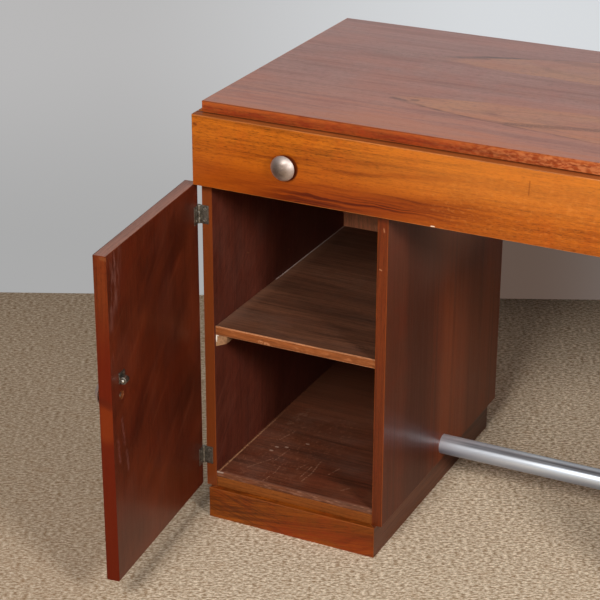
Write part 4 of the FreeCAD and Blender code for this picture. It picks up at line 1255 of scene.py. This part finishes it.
for side, move in (("left", OPEN_DOOR), ("right", MIRROR)):
    case = copied(catch_pattern, side + "_catch_case", move)
    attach(case, side + "_door")
    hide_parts(side + "_door_fittings")
    ball = copied(ball_pattern, side + "_catch_ball", move)
    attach(ball, side + "_catch")
    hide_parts(side + "_catch_plunger")
for pattern in (catch_pattern, ball_pattern):
    bpy.data.objects.remove(pattern)

# ---------------------------------------------------------------------------------------------
# Strikes: steel plates let into the inner sides, with two screws each. The rim of the hole in
# the middle is dished for the catch's ball.
strike = block("strike", (STRIKE_FACE, 25.0, 383.5), (314.5, 32.0, 413.5))
rounded(strike, 0.8, 3, lambda edge: abs(edge.verts[0].co.x - edge.verts[1].co.x) > MM)
blunted(strike, 0.14, 60.0)
cut(strike, turned("hole", placed(STRIKE_FACE, *CATCH_AXIS), (1.0, 0.0, 0.0),
                   [(-0.4, 3.15), (0.0, 3.05), (0.35, 2.7), (0.7, 2.6), (2.4, 2.6)], 48))
for z in STRIKE_SCREW_LEVELS:
    cut(strike, countersink(STRIKE_FACE, CATCH_AXIS[0], z, (1.0, 0.0, 0.0)))
strike = finished(strike, steel, 30.0)
for side, move in (("left", Matrix.Identity(4)), ("right", MIRROR)):
    plate = copied(strike, side + "_strike", move)
    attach(plate, "desk")
    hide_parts("catch_strikes")
bpy.data.objects.remove(strike)

# ---------------------------------------------------------------------------------------------
# Footrest: a satin aluminium tube between the pedestals, drawn along its length and held in
# blind sockets in their inner sides.
TUBE_START = 321.2
TUBE_END = 878.8
TUBE_AXIS = (288.0, 86.0)
TUBE_RADIUS = 17.5
SEEN_BEHIND, SEEN_ABOVE = 0.5, 0.866


def tube_painted_reflection(tree, shade):
    """Painted reflections: a dark band above the tube's middle, streaked by the drawing and
    fainter at its left end, and a bluer foot. Up is taken as it is seen, 60 degrees from
    level."""
    spot = flow_of(tree, "TexCoord", "Object")
    axes = axes_of(spot)
    core = placed(0.0, *TUBE_AXIS)
    behind = (axes[1] - core.y) * (SEEN_BEHIND / TUBE_RADIUS / MM)
    above = (axes[2] - core.z) * (SEEN_ABOVE / TUBE_RADIUS / MM)
    seen_height = behind + above
    off_band = abs(seen_height - 0.42)
    streaks = noise_of(spot, (6.0, 300.0, 300.0), 3.0)
    from_end = ramp_of(axes[0], placed(326.0, 0, 0).x, placed(400.0, 0, 0).x, 0.3, 1.0)
    streaked = from_end * ramp_of(streaks, 0.3, 0.6, 0.6, 1.0)
    band = ramp_of(off_band, 0.1, 0.34, 0.8, 0.0) * streaked
    return stained(shade, (band, 84, 86, 94),
                   (ramp_of(seen_height, -0.25, -0.8, 0.0, 0.75), 140, 150, 172))


tube = pipe(placed(TUBE_START, *TUBE_AXIS), (0.0, math.radians(90.0), 0.0), TUBE_RADIUS, 2.0,
            (TUBE_END - TUBE_START, 0.0, 0.0), 96)
tube.name = "footrest"
blunted(tube, 0.4, 60.0)
# The metal's pale blue tint is a painted cool reflection.
tube_metal = metal("tube_metal", (238, 246, 255), (214, 224, 238), 0.3, (10.0, 900.0, 900.0),
                   3.0, 0.05)
link(0.7, tube_metal.node_tree.nodes["Principled BSDF"].inputs["Metallic"])
recoloured(tube_metal, tube_painted_reflection)
finished(tube, tube_metal, 40.0)
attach(tube, "desk")
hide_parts("footrest_tube")

# ---------------------------------------------------------------------------------------------
# Camera: fitted to the desk's edges in the photograph. It looks down and to the left from
# in front of the desk's right part, and is tilted a little.
PICTURE_WIDTH, FOCAL_LENGTH = 600.0, 1871.058
LOOKS_DOWN, LOOKS_LEFT, TILT = (math.radians(angle) for angle in (23.932, 26.138, 0.173))
camera_data = bpy.data.cameras.new("camera")
camera = bpy.data.objects.new("camera", camera_data)
bpy.context.scene.collection.objects.link(camera)
camera_data.sensor_width = 36.0
camera_data.lens = FOCAL_LENGTH * camera_data.sensor_width / PICTURE_WIDTH
camera_data.clip_end = 50.0
camera.location = placed(1389.083, -2440.638, 1656.167)
heading = Euler((math.radians(90.0) - LOOKS_DOWN, 0.0, LOOKS_LEFT)).to_matrix()
camera.rotation_euler = (heading @ Matrix.Rotation(TILT, 3, "Z")).to_euler()
bpy.context.scene.camera = camera
bpy.context.scene.view_settings.view_transform = "Standard"

# ---------------------------------------------------------------------------------------------
# Floor: a plain pale one with a soft woven fleck, and a painted shadow that darkens it to the
# left of the desk. It is for the picture only.
clear_bench()
bpy.ops.mesh.primitive_plane_add(size=16.0, location=(0.0, 0.0, 0.0))
floor = bpy.context.object
floor.name = "floor"
floor_cloth, surface, spot = new_finish("floor_cloth")
laid = turned_place(spot, (0.0, 0.0, -0.456))
weave = noise_of(laid, (125.0, 250.0, 1.0), 3.0, 0.65)
thread = noise_of(laid, (300.0, 520.0, 1.0), 2.0, 0.6)
mottled = noise_of(spot, (34.0, 34.0, 1.0), 4.0, 0.6)
painted_shadow_left_of_desk = ramp_of(axes_of(spot)[0], -0.45, -0.68, 0.0, 0.34)
shade = stained(tone(128, 103, 77), (ramp_of(weave, 0.34, 0.66), 250, 235, 212),
                (ramp_of(thread, 0.35, 0.7, 0.0, 0.7), 184, 158, 126),
                (ramp_of(mottled, 0.5, 0.75, 0.0, 0.3), 164, 132, 98),
                (painted_shadow_left_of_desk, 134, 102, 76))
fill(surface, {"Base Color": shade, "Roughness": 0.95, "Specular IOR Level": 0.1,
               "Normal": bump(weave, 0.35, 0.002)})
floor.data.materials.append(floor_cloth)

# ---------------------------------------------------------------------------------------------
# Wall: painted grey behind the desk, and open from behind so that other views see past it.
# The camera sees painted light in its place: an even glow, paler upward and to the right, and
# a painted brown shadow where the knee space shades its foot.
WALL_FOOT = (-744.0, 707.0)
WALL_TURN = math.radians(24.8)
WALL_WIDTH = 16.0
WALL_HEIGHT = 4.0
bpy.ops.mesh.primitive_plane_add(size=1.0, location=placed(*WALL_FOOT, WALL_HEIGHT / 2 / MM),
                                 rotation=(math.radians(90.0), 0.0, WALL_TURN))
wall = bpy.context.object
wall.name = "wall"
wall.scale = (WALL_WIDTH, WALL_HEIGHT, 1.0)
bpy.ops.object.transform_apply(location=True, rotation=True, scale=True)
wall_paint, surface, spot = new_finish("wall_paint")
rolled = noise_of(spot, (1.4, 1.4, 1.4), 3.0)
fill(surface, {"Base Color": mix_of(rolled, tone(154, 156, 158), tone(162, 164, 166)),
               "Roughness": 0.9, "Specular IOR Level": 0.1})
axes = axes_of(spot)
upward = ramp_of(axes[2], 0.1, 0.58)
rightward = ramp_of(axes[0], -1.25, -0.42)
painted_knee_shadow = ramp_of(axes[0], -1.05, -0.5) * (ramp_of(axes[0], -0.42, 0.4, 1.0, 0.0)
                                              * ramp_of(axes[2], 0.42, 0.2))
even = stained(tone(172, 172, 172), (upward, 186, 185, 185),
               (rightward * upward, 218, 221, 224), (painted_knee_shadow, 98, 82, 73))
tree = wall_paint.node_tree
glow = flow_of(tree, "Emission", sockets={"Color": even})
seen = flow_of(tree, "LightPath", "Is Camera Ray") * 0.95
painted = Flow(tree.nodes["Principled BSDF"].outputs[0])
shown = flow_of(tree, "MixShader", sockets={0: seen, 1: painted, 2: glow})
clear = flow_of(tree, "BsdfTransparent")
behind = flow_of(tree, "NewGeometry", "Backfacing")
veil = flow_of(tree, "MixShader", sockets={0: behind, 1: shown, 2: clear})
link(veil, tree.nodes["Material Output"].inputs["Surface"])
wall.data.materials.append(wall_paint)

# ---------------------------------------------------------------------------------------------
# Light: a broad soft panel high up in front of the desk, a smaller one to the right for the
# sides that face it, and a pale room around.
world = bpy.data.worlds.new("world")
bpy.context.scene.world = world
world.use_nodes = True
fill(world.node_tree.nodes["Background"].inputs,
     {"Color": (0.80, 0.82, 0.84, 1.0), "Strength": 0.12})


def panel_light(name, spot, aim, size, power):
    """A square panel of warm white light, aimed at a place. Lengths are in metres."""
    data = bpy.data.lights.new(name, "AREA")
    data.shape = "RECTANGLE"
    data.size = data.size_y = size
    data.energy = power
    data.color = (1.0, 0.98, 0.95)
    lamp = bpy.data.objects.new(name, data)
    bpy.context.scene.collection.objects.link(lamp)
    lamp.location = spot
    lamp.rotation_euler = (Vector(aim) - Vector(spot)).to_track_quat("-Z", "Y").to_euler()


panel_light("front_panel", (-0.1, -3.4, 2.6), (-0.1, 0.0, 0.4), 1.2, 132.0)
panel_light("right_panel", (2.7, -2.06, 2.1), (-0.35, -0.1, 0.4), 0.7, 92.0)
